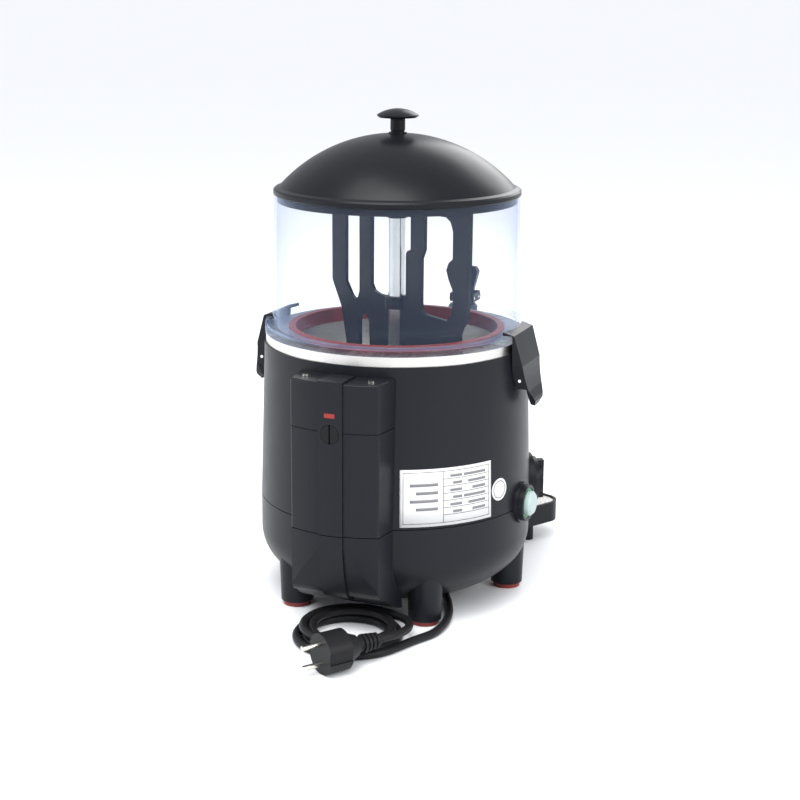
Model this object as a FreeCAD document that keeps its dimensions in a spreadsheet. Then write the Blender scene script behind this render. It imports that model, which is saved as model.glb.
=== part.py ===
"""Table-top hot chocolate dispenser: clear bowl on a heated steel pan, stirring
paddle on a centre column, lever tap over a drip tray, domed lid, mains cord.

The machine axis is vertical. The tap side is the front, towards -Y, and the
rear cover with the level plug is towards +Y. The origin is the centre of the
footprint on the table, so the machine axis stands at Y = axis_y. Each piece is
drawn about the machine axis and moved to its place by its Placement.
"""
import FreeCAD, Part
import math
import os

Vector = FreeCAD.Vector
DOC = FreeCAD.newDocument("chocolate_dispenser")
SHEET = DOC.addObject("Spreadsheet::Sheet", "Sizes")

# Driving sizes in millimetres and degrees
SIZES = [
    ("fit_gap", 0.3, "gap between curved pieces that do not touch"),
    ("run_gap", 0.06, "radial gap of a running fit"),
    ("floor_gap", 0.05, "height of the cord's skin above the table"),
    # feet and lower casing
    ("pad_height", 5.0, "rubber foot pad"),
    ("pad_radius", 13.4, "rubber foot pad"),
    ("leg_radius", 16.0, "leg at its foot"),
    ("leg_top_radius", 18.0, "leg where it meets the casing"),
    ("leg_circle", 115.0, "radius on which the four legs stand"),
    ("rear_leg_angle", 53.8, "rear legs, from the sideways axis"),
    ("front_leg_angle", 18.3, "front legs, from the sideways axis"),
    ("floor_clearance", 16.0, "underside of the lower casing"),
    ("base_radius", 91.0, "flat underside of the lower casing"),
    ("turn_height", 66.8, "where the lower casing starts to curve in"),
    ("turn_radius", 43.0, "upper arc of the curved-in wall"),
    ("turn_depth", 30.8, "height of the upper arc"),
    ("turn_inset", 13.0, "how far the upper arc comes in"),
    ("sweep_radius", 90.4, "lower arc of the curved-in wall"),
    ("seam_height", 101.0, "joint between lower and upper casing"),
    ("seam_radius", 136.0, "casing radius at that joint"),
    ("seam_gap", 0.8, "shadow groove at the joint"),
    ("casing_wall", 3.0, "moulded wall"),
    # upper casing and steel parts
    ("casing_top", 257.0, "top of the upper casing"),
    ("top_radius", 131.0, "casing radius at its top"),
    ("top_lip", 6.0, "inward lip that carries the pan"),
    ("steel_wall", 1.2, "pan and water tank"),
    ("rim_height", 9.4, "visible steel band"),
    ("rim_inset", 1.4, "band set back from the casing"),
    ("pan_radius", 104.0, "inside of the heated pan"),
    ("pan_floor", 216.0, "inside bottom of the heated pan"),
    ("tank_radius", 118.0, "outside of the water tank"),
    ("tank_floor", 184.0, "underside of the water tank"),
    # bowl and seal
    ("bowl_top", 401.3, "upper edge of the bowl"),
    ("bowl_top_radius", 120.0, "outside, upper edge"),
    ("bowl_low_radius", 121.8, "outside, above the ridge"),
    ("bowl_wall", 2.5, "clear wall"),
    ("ridge_height", 287.0, "middle of the double ridge"),
    ("ridge_reach", 1.3, "how far the ridges stand out"),
    ("shelf_height", 272.0, "top of the bowl's shelf"),
    ("flange_radius", 130.4, "outside of the bowl's flange"),
    ("flange_lip", 3.0, "raised lip round the flange"),
    ("lip_wall", 1.8, "thickness of that lip"),
    ("seal_wall", 3.5, "silicone seal"),
    ("seal_height", 14.0, "silicone seal"),
    # lid
    ("skirt_drop", 7.0, "lid skirt inside the bowl"),
    ("bead_height", 6.0, "bead round the lid"),
    ("bead_reach", 0.8, "bead beyond the bowl's edge"),
    ("dome_edge", 115.0, "radius where the dome meets the bead"),
    ("dome_rise", 50.8, "height of the dome"),
    ("dome_wall", 2.5, "moulded wall"),
    ("land_radius", 9.0, "flat seat of the knob"),
    ("knob_radius", 20.1, "knob cap"),
    ("knob_height", 22.8, "knob, seat to crown"),
    ("knob_cap", 8.6, "thickness of the cap"),
    ("knob_rim", 2.7, "height of the cap's rim"),
    ("knob_stem", 7.25, "stem radius"),
    ("screw_radius", 2.0, "knob screw"),
    # column, shaft and paddle
    ("column_radius", 8.2, "steel tube outside"),
    ("column_bore", 6.4, "steel tube inside"),
    ("column_top", 378.0, "upper end of the steel tube"),
    ("bush_radius", 9.6, "bearing bush on the tube"),
    ("bush_height", 7.5, "visible part of the bush"),
    ("bush_spigot", 9.0, "part inside the tube"),
    ("shaft_radius", 4.5, "drive shaft"),
    ("drive_square", 7.0, "square end of the shaft"),
    ("paddle_thick", 4.0, "moulded paddle"),
    ("paddle_near", 107.5, "reach of the wide side"),
    ("paddle_far", 101.5, "reach of the narrow side"),
    ("paddle_foot", 221.0, "lower edge of the paddle"),
    ("paddle_head", 394.2, "upper edge of the paddle"),
    ("bar_depth", 8.0, "cross bar of the paddle"),
    ("arm_width", 22.0, "outer arms"),
    ("paddle_angle", 151.5, "paddle's resting direction"),
    ("hub_radius", 11.5, "paddle hubs"),
    ("hub_low", 288.0, "underside of the lower hub"),
    ("hub_height", 12.0, "lower hub"),
    # motor
    ("motor_radius", 30.0, "gear motor"),
    ("motor_foot", 66.0, "underside of the gear motor"),
    ("motor_height", 84.0, "gear motor"),
    ("bridge_height", 152.0, "underside of the motor bridge"),
    ("bridge_thick", 2.0, "motor bridge"),
    ("bridge_width", 84.0, "motor bridge"),
    ("coupling_radius", 9.0, "shaft coupling"),
    ("coupling_height", 14.0, "shaft coupling"),
    ("heater_radius", 66.0, "heater ring in the tank"),
    ("heater_tube", 4.0, "heater tube"),
    # rear and front covers
    ("cover_top", 247.0, "top of the rear and front covers"),
    ("cover_reach", 164.0, "middle of the rear cover's face"),
    ("cover_half", 44.3, "half width of the face"),
    ("cover_root", 50.0, "half width at the casing"),
    ("cover_bow", 9.1, "bow of the face"),
    ("cover_line", 200.5, "fine groove across the rear cover"),
    ("line_width", 0.9, "that groove"),
    ("strip_half", 12.3, "half width of the rear strip"),
    ("strip_proud", 2.0, "rear strip above the face"),
    ("plug_height", 199.4, "centre of the level plug"),
    ("plug_radius", 9.0, "level plug"),
    ("plug_slot", 1.6, "coin slot"),
    ("pipe_radius", 6.0, "level pipe outside"),
    ("front_reach", 150.0, "face of the front cover"),
    ("front_half", 36.0, "half width of the front cover"),
    ("cover_screw_span", 33.0, "screws from the middle"),
    # latches
    ("latch_half", 30.0, "half width at the top"),
    ("latch_pin_reach", 137.0, "hinge pin from the axis"),
    ("latch_pin_height", 231.5, "hinge pin"),
    ("latch_pin_radius", 1.5, "hinge pin"),
    ("latch_tip", 203.5, "lower end of the latch"),
    ("latch_reach", 149.5, "widest point of the latch"),
    ("latch_wall", 3.0, "moulded wall"),
    ("latch_lip", 3.6, "thickness of the hook"),
    # controls
    ("switch_angle", 92.0, "from the front, to the left side"),
    ("switch_height", 104.0, "switch centre"),
    ("switch_flange", 20.5, "radius of its flange"),
    ("switch_collar", 18.0, "radius of its collar"),
    ("switch_ring", 14.8, "radius of the green ring"),
    ("switch_button", 12.2, "radius of the button"),
    ("collar_reach", 143.4, "end of the collar"),
    ("button_reach", 148.8, "end of the button"),
    ("button_travel", 2.5, "push"),
    ("dial_angle", 60.0, "from the front, to the left side"),
    ("dial_height", 106.0, "thermostat centre"),
    ("dial_radius", 24.0, "thermostat knob"),
    ("dial_base", 27.0, "ring behind the knob"),
    ("dial_reach", 153.5, "end of the knob"),
    # tap
    ("tap_reach", 200.0, "tap axis in front of the machine axis"),
    ("tap_height", 228.0, "centre of the inlet"),
    ("tap_radius", 15.0, "valve body"),
    ("tap_bore", 9.5, "valve bore"),
    ("tap_top", 250.0, "top of the valve body"),
    ("seat_height", 206.0, "valve seat"),
    ("outlet_height", 180.0, "mouth of the spout"),
    ("spout_radius", 8.5, "spout outside"),
    ("spout_bore", 5.8, "spout inside"),
    ("inlet_radius", 10.0, "inlet pipe outside"),
    ("inlet_bore", 6.0, "inlet pipe inside"),
    ("bonnet_height", 7.0, "bonnet on the valve body"),
    ("rod_radius", 3.0, "valve rod"),
    ("lever_arm", 12.0, "lever pin to rod"),
    ("lever_pin_height", 263.6, "lever pin"),
    ("lever_pin_radius", 1.5, "lever and rod pins"),
    ("yoke_half", 13.8, "half width of the lever's yoke"),
    ("yoke_wall", 3.2, "cheeks of the yoke"),
    ("handle_top", 296.0, "top of the handle"),
    ("handle_half", 11.0, "half width at the top"),
    ("handle_thick", 6.0, "handle"),
    # drip tray
    ("tray_reach", 241.0, "front of the drip tray"),
    ("tray_inner", 128.9, "back of the drip tray"),
    ("tray_half_angle", 30.0, "half of the tray's sector"),
    ("tray_corner", 20.0, "front corners"),
    ("tray_rim", 42.0, "rim height"),
    ("tray_floor", 20.0, "underside of the tray"),
    ("tray_wall", 2.4, "moulded wall"),
    ("tray_foot_radius", 6.0, "tray feet"),
    ("tray_foot_circle", 202.0, "front feet from the axis"),
    ("grid_thick", 1.5, "steel grid"),
    ("grid_drop", 1.5, "grid below the rim"),
    ("slot_width", 5.0, "slots in the grid"),
    ("slot_pitch", 12.0, "from slot to slot"),
    # cord and plug
    ("cord_radius", 4.0, "mains cord"),
    ("coil_x", -17.0, "coil centre"),
    ("coil_y", 158.0, "coil centre, from the machine axis"),
    ("coil_radius", 54.0, "outer turn, middle of the cord"),
    ("coil_pitch", 8.7, "from turn to turn and layer to layer"),
    ("coil_start", 159.5, "direction of the coil's first point"),
    ("relief_length", 26.0, "plug strain relief"),
    ("neck_length", 13.0, "plug neck"),
    ("plug_length", 24.0, "plug body"),
    ("plug_body_radius", 19.0, "plug body"),
    ("plug_pin_radius", 2.4, "plug pins"),
    ("plug_pin_length", 19.0, "plug pins"),
    ("plug_pin_pitch", 19.0, "between the pins"),
    ("gland_length", 14.0, "cord entry block"),
    ("gland_width", 18.0, "cord entry block"),
    ("entry_relief", 22.0, "strain relief at the machine"),
]


class Size:
    """A number together with the sheet expression that gives it."""

    def __init__(self, value, text):
        self.value = float(value)
        self.text = text

    def _join(self, other, sign, value, swap=False):
        other_text = other.text if isinstance(other, Size) else repr(float(other))
        left, right = (other_text, self.text) if swap else (self.text, other_text)
        return Size(value, "(%s %s %s)" % (left, sign, right))

    def __float__(self):
        return self.value

    def __add__(self, other):
        return self._join(other, "+", self.value + float(other))

    def __radd__(self, other):
        return self._join(other, "+", self.value + float(other), True)

    def __sub__(self, other):
        return self._join(other, "-", self.value - float(other))

    def __rsub__(self, other):
        return self._join(other, "-", float(other) - self.value, True)

    def __mul__(self, other):
        return self._join(other, "*", self.value * float(other))

    def __rmul__(self, other):
        return self._join(other, "*", self.value * float(other), True)

    def __truediv__(self, other):
        return self._join(other, "/", self.value / float(other))

    def __neg__(self):
        return Size(-self.value, "(0 - %s)" % self.text)


class Sizes:
    """Reads an alias of the sheet as a Size."""

    def __getattr__(self, alias):
        return Size(SHEET.get(alias), "Sizes." + alias)


def root(size):
    return Size(math.sqrt(size.value), "sqrt(%s)" % size.text)


def fill_sheet():
    for row, (alias, value, note) in enumerate(SIZES, start=1):
        SHEET.set("A%d" % row, note)
        SHEET.set("B%d" % row, str(value))
        SHEET.setAlias("B%d" % row, alias)
    DOC.recompute()
    row = len(SIZES) + 1
    SHEET.set("A%d" % row, "machine axis behind the middle of the footprint")
    SHEET.set("B%d" % row, "=(tray_reach - cover_reach - strip_proud) / 2")
    SHEET.setAlias("B%d" % row, "axis_y")
    DOC.recompute()


fill_sheet()
dim = Sizes()
PARTS = []
PLANES = {"XY": "XY_Plane", "XZ": "XZ_Plane", "YZ": "YZ_Plane"}


def text_of(size):
    return size.text if isinstance(size, Size) else repr(float(size))


def bind(thing, path, size):
    thing.setExpression(path, text_of(size))


def part(node, thing, turn=0.0):
    """Names a finished piece and sets it on the machine axis, turned about it."""
    thing.Label = node
    own = thing.Placement
    about = FreeCAD.Rotation(Vector(0, 0, 1), float(turn))
    if float(turn) and own.Base.Length > 0:
        raise RuntimeError(node + " is turned and has a place of its own")
    along_y = dict(thing.ExpressionEngine).get(".Placement.Base.y", repr(own.Base.y))
    thing.Placement = FreeCAD.Placement(own.Base + Vector(0, float(dim.axis_y), 0),
                                        about.multiply(own.Rotation))
    thing.setExpression("Placement.Base.y", "(%s) + Sizes.axis_y" % along_y)
    if isinstance(turn, Size):
        bind(thing, "Placement.Rotation.Angle", turn)
    PARTS.append((node, thing))
    return thing


def arc_between(start, end, radius, left):
    """Arc of a circle from start to end; left: its centre lies to the left."""
    chord = end - start
    half = chord.Length / 2
    side = Vector(-chord.y, chord.x, 0).normalize()
    rise = math.sqrt(max(radius * radius - half * half, 0.0))
    centre = start + chord * 0.5 + side * (rise if left else -rise)
    first, last = (start, end) if left else (end, start)
    angles = [math.atan2(p.y - centre.y, p.x - centre.x) for p in (first, last)]
    circle = Part.Circle(centre, Vector(0, 0, 1), radius)
    return Part.ArcOfCircle(circle, angles[0], angles[1])


def draw(body, plane, points, offset=None):
    """Closed outline. A point is (x, y), or (x, y, radius, left) where an arc
    runs on from it; every corner is bound to the sheet."""
    sketch = body.newObject("Sketcher::SketchObject", body.Name + "_outline")
    origin = [f for f in body.Origin.OriginFeatures if f.Role == PLANES[plane]][0]
    sketch.AttachmentSupport = (origin, [""])
    sketch.MapMode = "FlatFace"
    if offset is not None:
        sketch.AttachmentOffset = FreeCAD.Placement(Vector(0, 0, float(offset)),
                                                    FreeCAD.Rotation())
        bind(sketch, "AttachmentOffset.Base.z", offset)
    sketch_points(sketch, points)
    return sketch


def sketch_points(sketch, points):
    import Sketcher
    spots = [Vector(float(p[0]), float(p[1]), 0) for p in points]
    count = len(points)
    first_edge = sketch.GeometryCount
    ends = []
    for i, point in enumerate(points):
        start, end = spots[i], spots[(i + 1) % count]
        if len(point) > 2:
            sketch.addGeometry(arc_between(start, end, float(point[2]), point[3]), False)
            ends.append((1, 2) if point[3] else (2, 1))
        else:
            sketch.addGeometry(Part.LineSegment(start, end), False)
            ends.append((1, 2))
    for i in range(count):
        after = (i + 1) % count
        sketch.addConstraint(Sketcher.Constraint(
            "Coincident", first_edge + i, ends[i][1], first_edge + after, ends[after][0]))
    for i, point in enumerate(points):
        for kind, place in (("DistanceX", point[0]), ("DistanceY", point[1])):
            at = sketch.addConstraint(Sketcher.Constraint(
                kind, -1, 1, first_edge + i, ends[i][0], float(place)))
            if isinstance(place, Size):
                bind(sketch, "Constraints[%d]" % at, place)
        if len(point) > 2:
            at = sketch.addConstraint(Sketcher.Constraint(
                "Radius", first_edge + i, float(point[2])))
            if isinstance(point[2], Size):
                bind(sketch, "Constraints[%d]" % at, point[2])


def new_body(name):
    return DOC.addObject("PartDesign::Body", name)


def turned(name, points):
    """Body of revolution about the machine axis from an (r, z) outline."""
    body = new_body(name)
    sketch = draw(body, "XZ", points)
    spin = body.newObject("PartDesign::Revolution", name + "_spin")
    spin.Profile = sketch
    spin.ReferenceAxis = (sketch, ["V_Axis"])
    spin.Angle = 360
    DOC.recompute()
    return body


def slab(name, plane, points, thick, offset=None, both_ways=False):
    """Outline padded by a thickness; both_ways: half to each side."""
    body = new_body(name)
    sketch = draw(body, plane, points, offset)
    pad = body.newObject("PartDesign::Pad", name + "_pad")
    pad.Profile = sketch
    pad.Length = float(thick)
    bind(pad, "Length", thick)
    pad.Midplane = both_ways
    DOC.recompute()
    return body


def round_edges(body, radius, pick):
    """Fillets the edges of the body that pick() accepts."""
    base = body.Tip
    names = ["Edge%d" % (i + 1) for i, edge in enumerate(base.Shape.Edges) if pick(edge)]
    fillet = body.newObject("PartDesign::Fillet", body.Name + "_round")
    fillet.Base = (base, names)
    fillet.Radius = float(radius)
    bind(fillet, "Radius", radius)
    body.Tip = fillet
    DOC.recompute()
    return body


AXES = {"z": FreeCAD.Rotation(),
        "x": FreeCAD.Rotation(Vector(0, 1, 0), 90),
        "-y": FreeCAD.Rotation(Vector(1, 0, 0), 90),
        "y": FreeCAD.Rotation(Vector(1, 0, 0), -90)}


def place(thing, at, way="z"):
    thing.Placement = FreeCAD.Placement(Vector(*[float(v) for v in at]), AXES[way])
    for axis, value in zip("xyz", at):
        if isinstance(value, Size):
            bind(thing, "Placement.Base." + axis, value)
    return thing


def rod(name, radius, length, at, way="z"):
    thing = DOC.addObject("Part::Cylinder", name)
    thing.Radius, thing.Height = float(radius), float(length)
    bind(thing, "Radius", radius)
    bind(thing, "Height", length)
    return place(thing, at, way)


def cone(name, foot, top, length, at, way="z"):
    thing = DOC.addObject("Part::Cone", name)
    thing.Radius1, thing.Radius2, thing.Height = float(foot), float(top), float(length)
    bind(thing, "Radius1", foot)
    bind(thing, "Radius2", top)
    bind(thing, "Height", length)
    return place(thing, at, way)


def block(name, size, at):
    thing = DOC.addObject("Part::Box", name)
    for side, value in zip(("Length", "Width", "Height"), size):
        setattr(thing, side, float(value))
        bind(thing, side, value)
    return place(thing, at)


def fuse(name, pieces):
    thing = DOC.addObject("Part::MultiFuse", name)
    thing.Shapes = pieces
    thing.Refine = True
    DOC.recompute()
    return thing


def cut(name, base, tools):
    """Takes the tools out of the base, one after the other."""
    for i, tool in enumerate(tools):
        thing = DOC.addObject("Part::Cut", "%s_%d" % (name, i + 1))
        thing.Base, thing.Tool, thing.Refine = base, tool, True
        DOC.recompute()
        base = thing
    return base


def common(name, base, tool):
    thing = DOC.addObject("Part::MultiCommon", name)
    thing.Shapes = [base, tool]
    thing.Refine = True
    DOC.recompute()
    return thing


def solid_of(name, shape):
    thing = DOC.addObject("Part::Feature", name)
    thing.Shape = shape
    return thing


def polar(radius, angle):
    """Point on a circle, by the angle from the sideways axis, bound to the sheet."""
    turn = float(angle)
    text = text_of(angle)
    across = Size(math.cos(math.radians(turn)), "cos(%s * 1deg)" % text)
    along = Size(math.sin(math.radians(turn)), "sin(%s * 1deg)" % text)
    return radius * across, radius * along


# Casing outlines, shared by the shells and by what sits on them
rim_top = dim.casing_top + dim.rim_height


def casing_outline(inset):
    """Outside of both casings from the underside to the top, moved in by inset."""
    turn_low = dim.turn_height - dim.turn_depth
    return [(dim.base_radius - inset, dim.floor_clearance, dim.sweep_radius, True),
            (dim.seam_radius - dim.turn_inset - inset, turn_low, dim.turn_radius, True),
            (dim.seam_radius - inset, dim.turn_height),
            (dim.seam_radius - inset, dim.seam_height),
            (dim.top_radius - inset, dim.casing_top)]


def make_envelope():
    outline = [(0, dim.floor_clearance)] + casing_outline(0)[:-1]
    outline += [(dim.seam_radius, dim.seam_height + dim.seam_gap)]
    outline += [(dim.top_radius, dim.casing_top), (0, dim.casing_top)]
    return turned("envelope", outline)


envelope = make_envelope()


def cover_plan(reach, half, edge, bow):
    """Plan of a cover on the casing's back: drafted sides and a bowed face."""
    radius = (half * half + bow * bow) / (2 * bow)
    return [(-edge, dim.top_radius - 22), (edge, dim.top_radius - 22),
            (half, reach - bow, radius, True), (-half, reach - bow)]


def radial_bore(name, radius, height, angle):
    """Hole through the casing wall, seen from the axis at a direction."""
    hole = rod(name, radius, dim.casing_wall + 24, (0, 0, height), "-y")
    turn = -float(angle)
    hole.Placement = FreeCAD.Placement(
        Vector(-math.sin(math.radians(-turn)) * 118, -math.cos(math.radians(turn)) * 118,
               float(height)),
        FreeCAD.Rotation(Vector(0, 0, 1), turn).multiply(AXES["-y"]))
    bind(hole, "Placement.Base.x", polar(Size(118, "118"), 270 - Size(angle, text_of(angle)))[0])
    bind(hole, "Placement.Base.y", polar(Size(118, "118"), 270 - Size(angle, text_of(angle)))[1])
    bind(hole, "Placement.Base.z", height)
    return hole


def make_casings():
    """Upper and lower shells, with the holes for what passes through them."""
    wall = dim.casing_wall
    upper_outline = [(dim.seam_radius - wall, dim.seam_height),
                     (dim.seam_radius, dim.seam_height + dim.seam_gap),
                     (dim.top_radius, dim.casing_top),
                     (dim.top_radius - dim.top_lip, dim.casing_top),
                     (dim.top_radius - dim.top_lip, dim.casing_top - wall),
                     (dim.top_radius - wall, dim.casing_top - wall)]
    upper = turned("upper_shell", upper_outline)
    lower = turned("lower_solid", [(0, dim.floor_clearance)] + casing_outline(0)[:-1]
                   + [(0, dim.seam_height)])
    inside = casing_outline(wall)
    foot, arc_low, arc_top, seam = inside[0], inside[1], inside[2], inside[3]
    hollow = turned("lower_hollow", [
        (0, dim.floor_clearance - 1), (foot[0], dim.floor_clearance - 1),
        (foot[0], foot[1] + wall, dim.sweep_radius - wall, True),
        (arc_low[0], arc_low[1] + wall * 0.7, dim.turn_radius - wall, True),
        arc_top, (seam[0], dim.seam_height + 1), (0, dim.seam_height + 1)])
    return upper, lower, hollow


def make_lower_casing(shell, hollow):
    """Lower casing with the foot of the rear cover and the rib down its middle."""
    plan = slab("cover_foot_plan", "XY",
                cover_plan(dim.cover_reach, dim.cover_half, dim.cover_root, dim.cover_bow),
                dim.seam_height - dim.floor_clearance, dim.floor_clearance)
    reach = dim.cover_reach
    side = slab("cover_foot_side", "YZ", [
        (dim.base_radius - 20, dim.floor_clearance), (dim.base_radius + 12,
         dim.floor_clearance, dim.sweep_radius, True),
        (reach - 22, dim.turn_height - 31, dim.turn_radius / 3, True),
        (reach - 9.5, dim.turn_height - 22, dim.sweep_radius * 2.2, True),
        (reach, dim.seam_height), (dim.base_radius - 20, dim.seam_height)],
        2 * dim.cover_root + 2, None, True)
    foot = common("cover_foot", plan, side)
    proud = dim.strip_proud
    rib_plan = slab("foot_rib_plan", "XY", cover_plan(
        reach + proud, dim.cover_half + 2, dim.cover_root, dim.cover_bow),
        dim.seam_height - dim.floor_clearance, dim.floor_clearance)
    rib_side = slab("foot_rib_side", "YZ", [
        (dim.base_radius + 12, dim.floor_clearance + 1),
        (reach - 22 + proud, dim.turn_height - 31 - proud, dim.turn_radius / 3 + proud, True),
        (reach - 9.5 + proud, dim.turn_height - 22 - proud / 2, dim.sweep_radius * 2.2, True),
        (reach + proud, dim.seam_height), (dim.base_radius + 12, dim.seam_height)],
        2 * dim.strip_half, None, True)
    rib = common("foot_rib", rib_plan, rib_side)
    body = fuse("lower_body", [shell, foot, rib])
    return cut("lower_cut", body, [hollow])


def make_legs(shell):
    """Four tapered legs, each cut to the curve of the casing that it meets."""
    legs = []
    for i, angle in enumerate((dim.rear_leg_angle, 180 - dim.rear_leg_angle,
                               0 - dim.front_leg_angle, 180 + dim.front_leg_angle)):
        x, y = polar(dim.leg_circle, angle)
        legs.append(cone("leg_%d" % (i + 1), dim.leg_radius, dim.leg_top_radius,
                         dim.turn_height - dim.pad_height, (x, y, dim.pad_height)))
    return cut("legs_cut", fuse("legs_all", legs), [shell])


upper_shell, lower_shell, lower_hollow = make_casings()


def make_hole_tools():
    """Holes that go through the casings; each is a little larger than its piece."""
    return [radial_bore("switch_hole", dim.switch_ring - 2, dim.switch_height, dim.switch_angle),
            radial_bore("dial_hole", dim.coupling_radius, dim.dial_height, dim.dial_angle),
            rod("inlet_hole", dim.inlet_radius + dim.fit_gap, 40,
                (0, -110, dim.tap_height), "-y"),
            rod("pipe_hole", dim.pipe_radius + dim.fit_gap, 40, (0, 110, dim.plug_height), "y")]


HOLES = make_hole_tools()
part("upper_casing", cut("upper_casing_cut", upper_shell, HOLES))
part("casing_legs", make_legs(lower_shell))
part("lower_casing", cut("lower_casing_cut", make_lower_casing(lower_shell, lower_hollow),
                         HOLES[:2]))


def make_base():
    plate = rod("base_disc", dim.base_radius - dim.casing_wall - dim.fit_gap, dim.steel_wall * 2,
                (0, 0, dim.floor_clearance))
    vents = []
    for row in range(-2, 3):
        vents.append(block("vent_%d" % (row + 3), (44, 4, 12), (-22, row * 10 - 32,
                                                                dim.floor_clearance - 4)))
    part("base_plate", cut("base_plate_cut", plate, vents))
    pads = []
    for i, angle in enumerate((dim.rear_leg_angle, 180 - dim.rear_leg_angle,
                               -dim.front_leg_angle, 180 + dim.front_leg_angle)):
        x, y = polar(dim.leg_circle, angle)
        pads.append(rod("pad_%d" % (i + 1), dim.pad_radius, dim.pad_height, (x, y, 0)))
    part("foot_pads", fuse("pads", pads))


make_base()


def make_steel():
    """Heated pan with the bright rim, and the water tank round it."""
    wall = dim.steel_wall
    rim = dim.top_radius - dim.rim_inset
    inner = dim.pan_radius
    pan = turned("pan_shell", [
        (rim, dim.casing_top), (rim, rim_top), (inner, rim_top),
        (inner, dim.pan_floor + 8, Size(8, "8"), False), (inner - 8, dim.pan_floor),
        (dim.column_radius, dim.pan_floor), (dim.column_radius, dim.pan_floor - wall),
        (inner - 8 + wall, dim.pan_floor - wall, Size(8, "8"), True),
        (inner + wall, dim.pan_floor + 8 - wall), (inner + wall, rim_top - wall),
        (rim - wall, rim_top - wall), (rim - wall, dim.casing_top)])
    inlet = rod("pan_hole", dim.inlet_bore + 0.5, 60, (0, -80, dim.tap_height), "-y")
    part("heated_pan", cut("pan_cut", pan, [inlet]))
    out = dim.tank_radius
    tank = turned("tank_shell", [
        (dim.column_radius, dim.tank_floor), (out, dim.tank_floor),
        (out, dim.casing_top), (rim - wall - dim.fit_gap, dim.casing_top),
        (rim - wall - dim.fit_gap, dim.casing_top + wall), (out - wall, dim.casing_top + wall),
        (out - wall, dim.tank_floor + wall), (dim.column_radius, dim.tank_floor + wall)])
    tools = [rod("tank_inlet_hole", dim.inlet_radius, 60, (0, -90, dim.tap_height), "-y"),
             rod("tank_pipe_hole", dim.pipe_radius, 60, (0, 90, dim.plug_height), "y")]
    reach = root(dim.heater_radius * dim.heater_radius - 196)
    for side in (-1, 1):
        tools.append(rod("heater_hole_%d" % (side + 2), dim.heater_tube, 20,
                         (side * 14, 0 - reach, dim.tank_floor - 8)))
    part("water_tank", cut("tank_cut", tank, tools))


make_steel()


def make_heater():
    """Open heater ring on the tank's floor, its two ends down through it."""
    level = float(dim.tank_floor) + 12
    radius, tube = float(dim.heater_radius), float(dim.heater_tube)
    gap = math.asin(14 / radius)
    start = -math.pi / 2 + gap
    end = 1.5 * math.pi - gap
    ring = Part.Arc(*[Vector(radius * math.cos(a), radius * math.sin(a), level)
                      for a in (start, (start + end) / 2, end)])
    path = Part.Wire([ring.toShape()])
    circle = Part.Circle(path.Edges[0].valueAt(ring.FirstParameter),
                         path.Edges[0].tangentAt(ring.FirstParameter), tube * 0.98)
    shape = path.makePipeShell([Part.Wire(circle.toShape())], True, False)
    lead = [Part.makeCylinder(tube * 0.98, 34, Vector(side * 14, -radius * math.cos(gap),
                                                     level - 34)) for side in (-1, 1)]
    ends = [Part.makeSphere(tube * 0.98, Vector(side * 14, -radius * math.cos(gap), level))
            for side in (-1, 1)]
    part("heater_element", solid_of("heater", shape.multiFuse(lead + ends)))


make_heater()


def make_bowl():
    wall = dim.bowl_wall
    low, top = dim.bowl_low_radius, dim.bowl_top_radius
    shelf = dim.shelf_height
    ridge = dim.ridge_height
    out = dim.flange_radius
    points = [(out, rim_top), (out, shelf + dim.flange_lip),
              (out - dim.lip_wall, shelf + dim.flange_lip), (out - dim.lip_wall, shelf),
              (low + 0.6, shelf), (low, ridge - 5)]
    for step in (-1, 1):
        middle = ridge + 2.2 * step
        points += [(low, middle - 1.6), (low + dim.ridge_reach, middle - 0.8),
                   (low + dim.ridge_reach, middle + 0.8), (low, middle + 1.6)]
    inner = dim.pan_radius + dim.seal_wall
    points += [(top, dim.bowl_top), (top - wall, dim.bowl_top), (low - wall, ridge - 8),
               (low - wall, shelf), (inner, shelf - 1), (inner, rim_top)]
    part("bowl", turned("bowl_wall_body", points))


make_bowl()


def make_seal():
    """Silicone ring between pan and bowl, with a lip over the pan's rim."""
    inner = dim.pan_radius - dim.fit_gap
    lip = dim.pan_radius + dim.seal_wall - dim.fit_gap
    part("bowl_seal", turned("seal_body", [
        (inner - dim.seal_wall, rim_top + 5 - dim.seal_height), (inner, rim_top + 5
         - dim.seal_height), (inner, rim_top), (lip, rim_top), (lip, rim_top + 5),
        (inner - dim.seal_wall, rim_top + 5)]))


make_seal()


def dome_height(radius, edge, rise, foot):
    """Height of a spherical cap of that edge and rise above a radius."""
    ball = (edge * edge + rise * rise) / (2 * rise)
    return foot + rise - ball + root(ball * ball - radius * radius), ball


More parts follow.
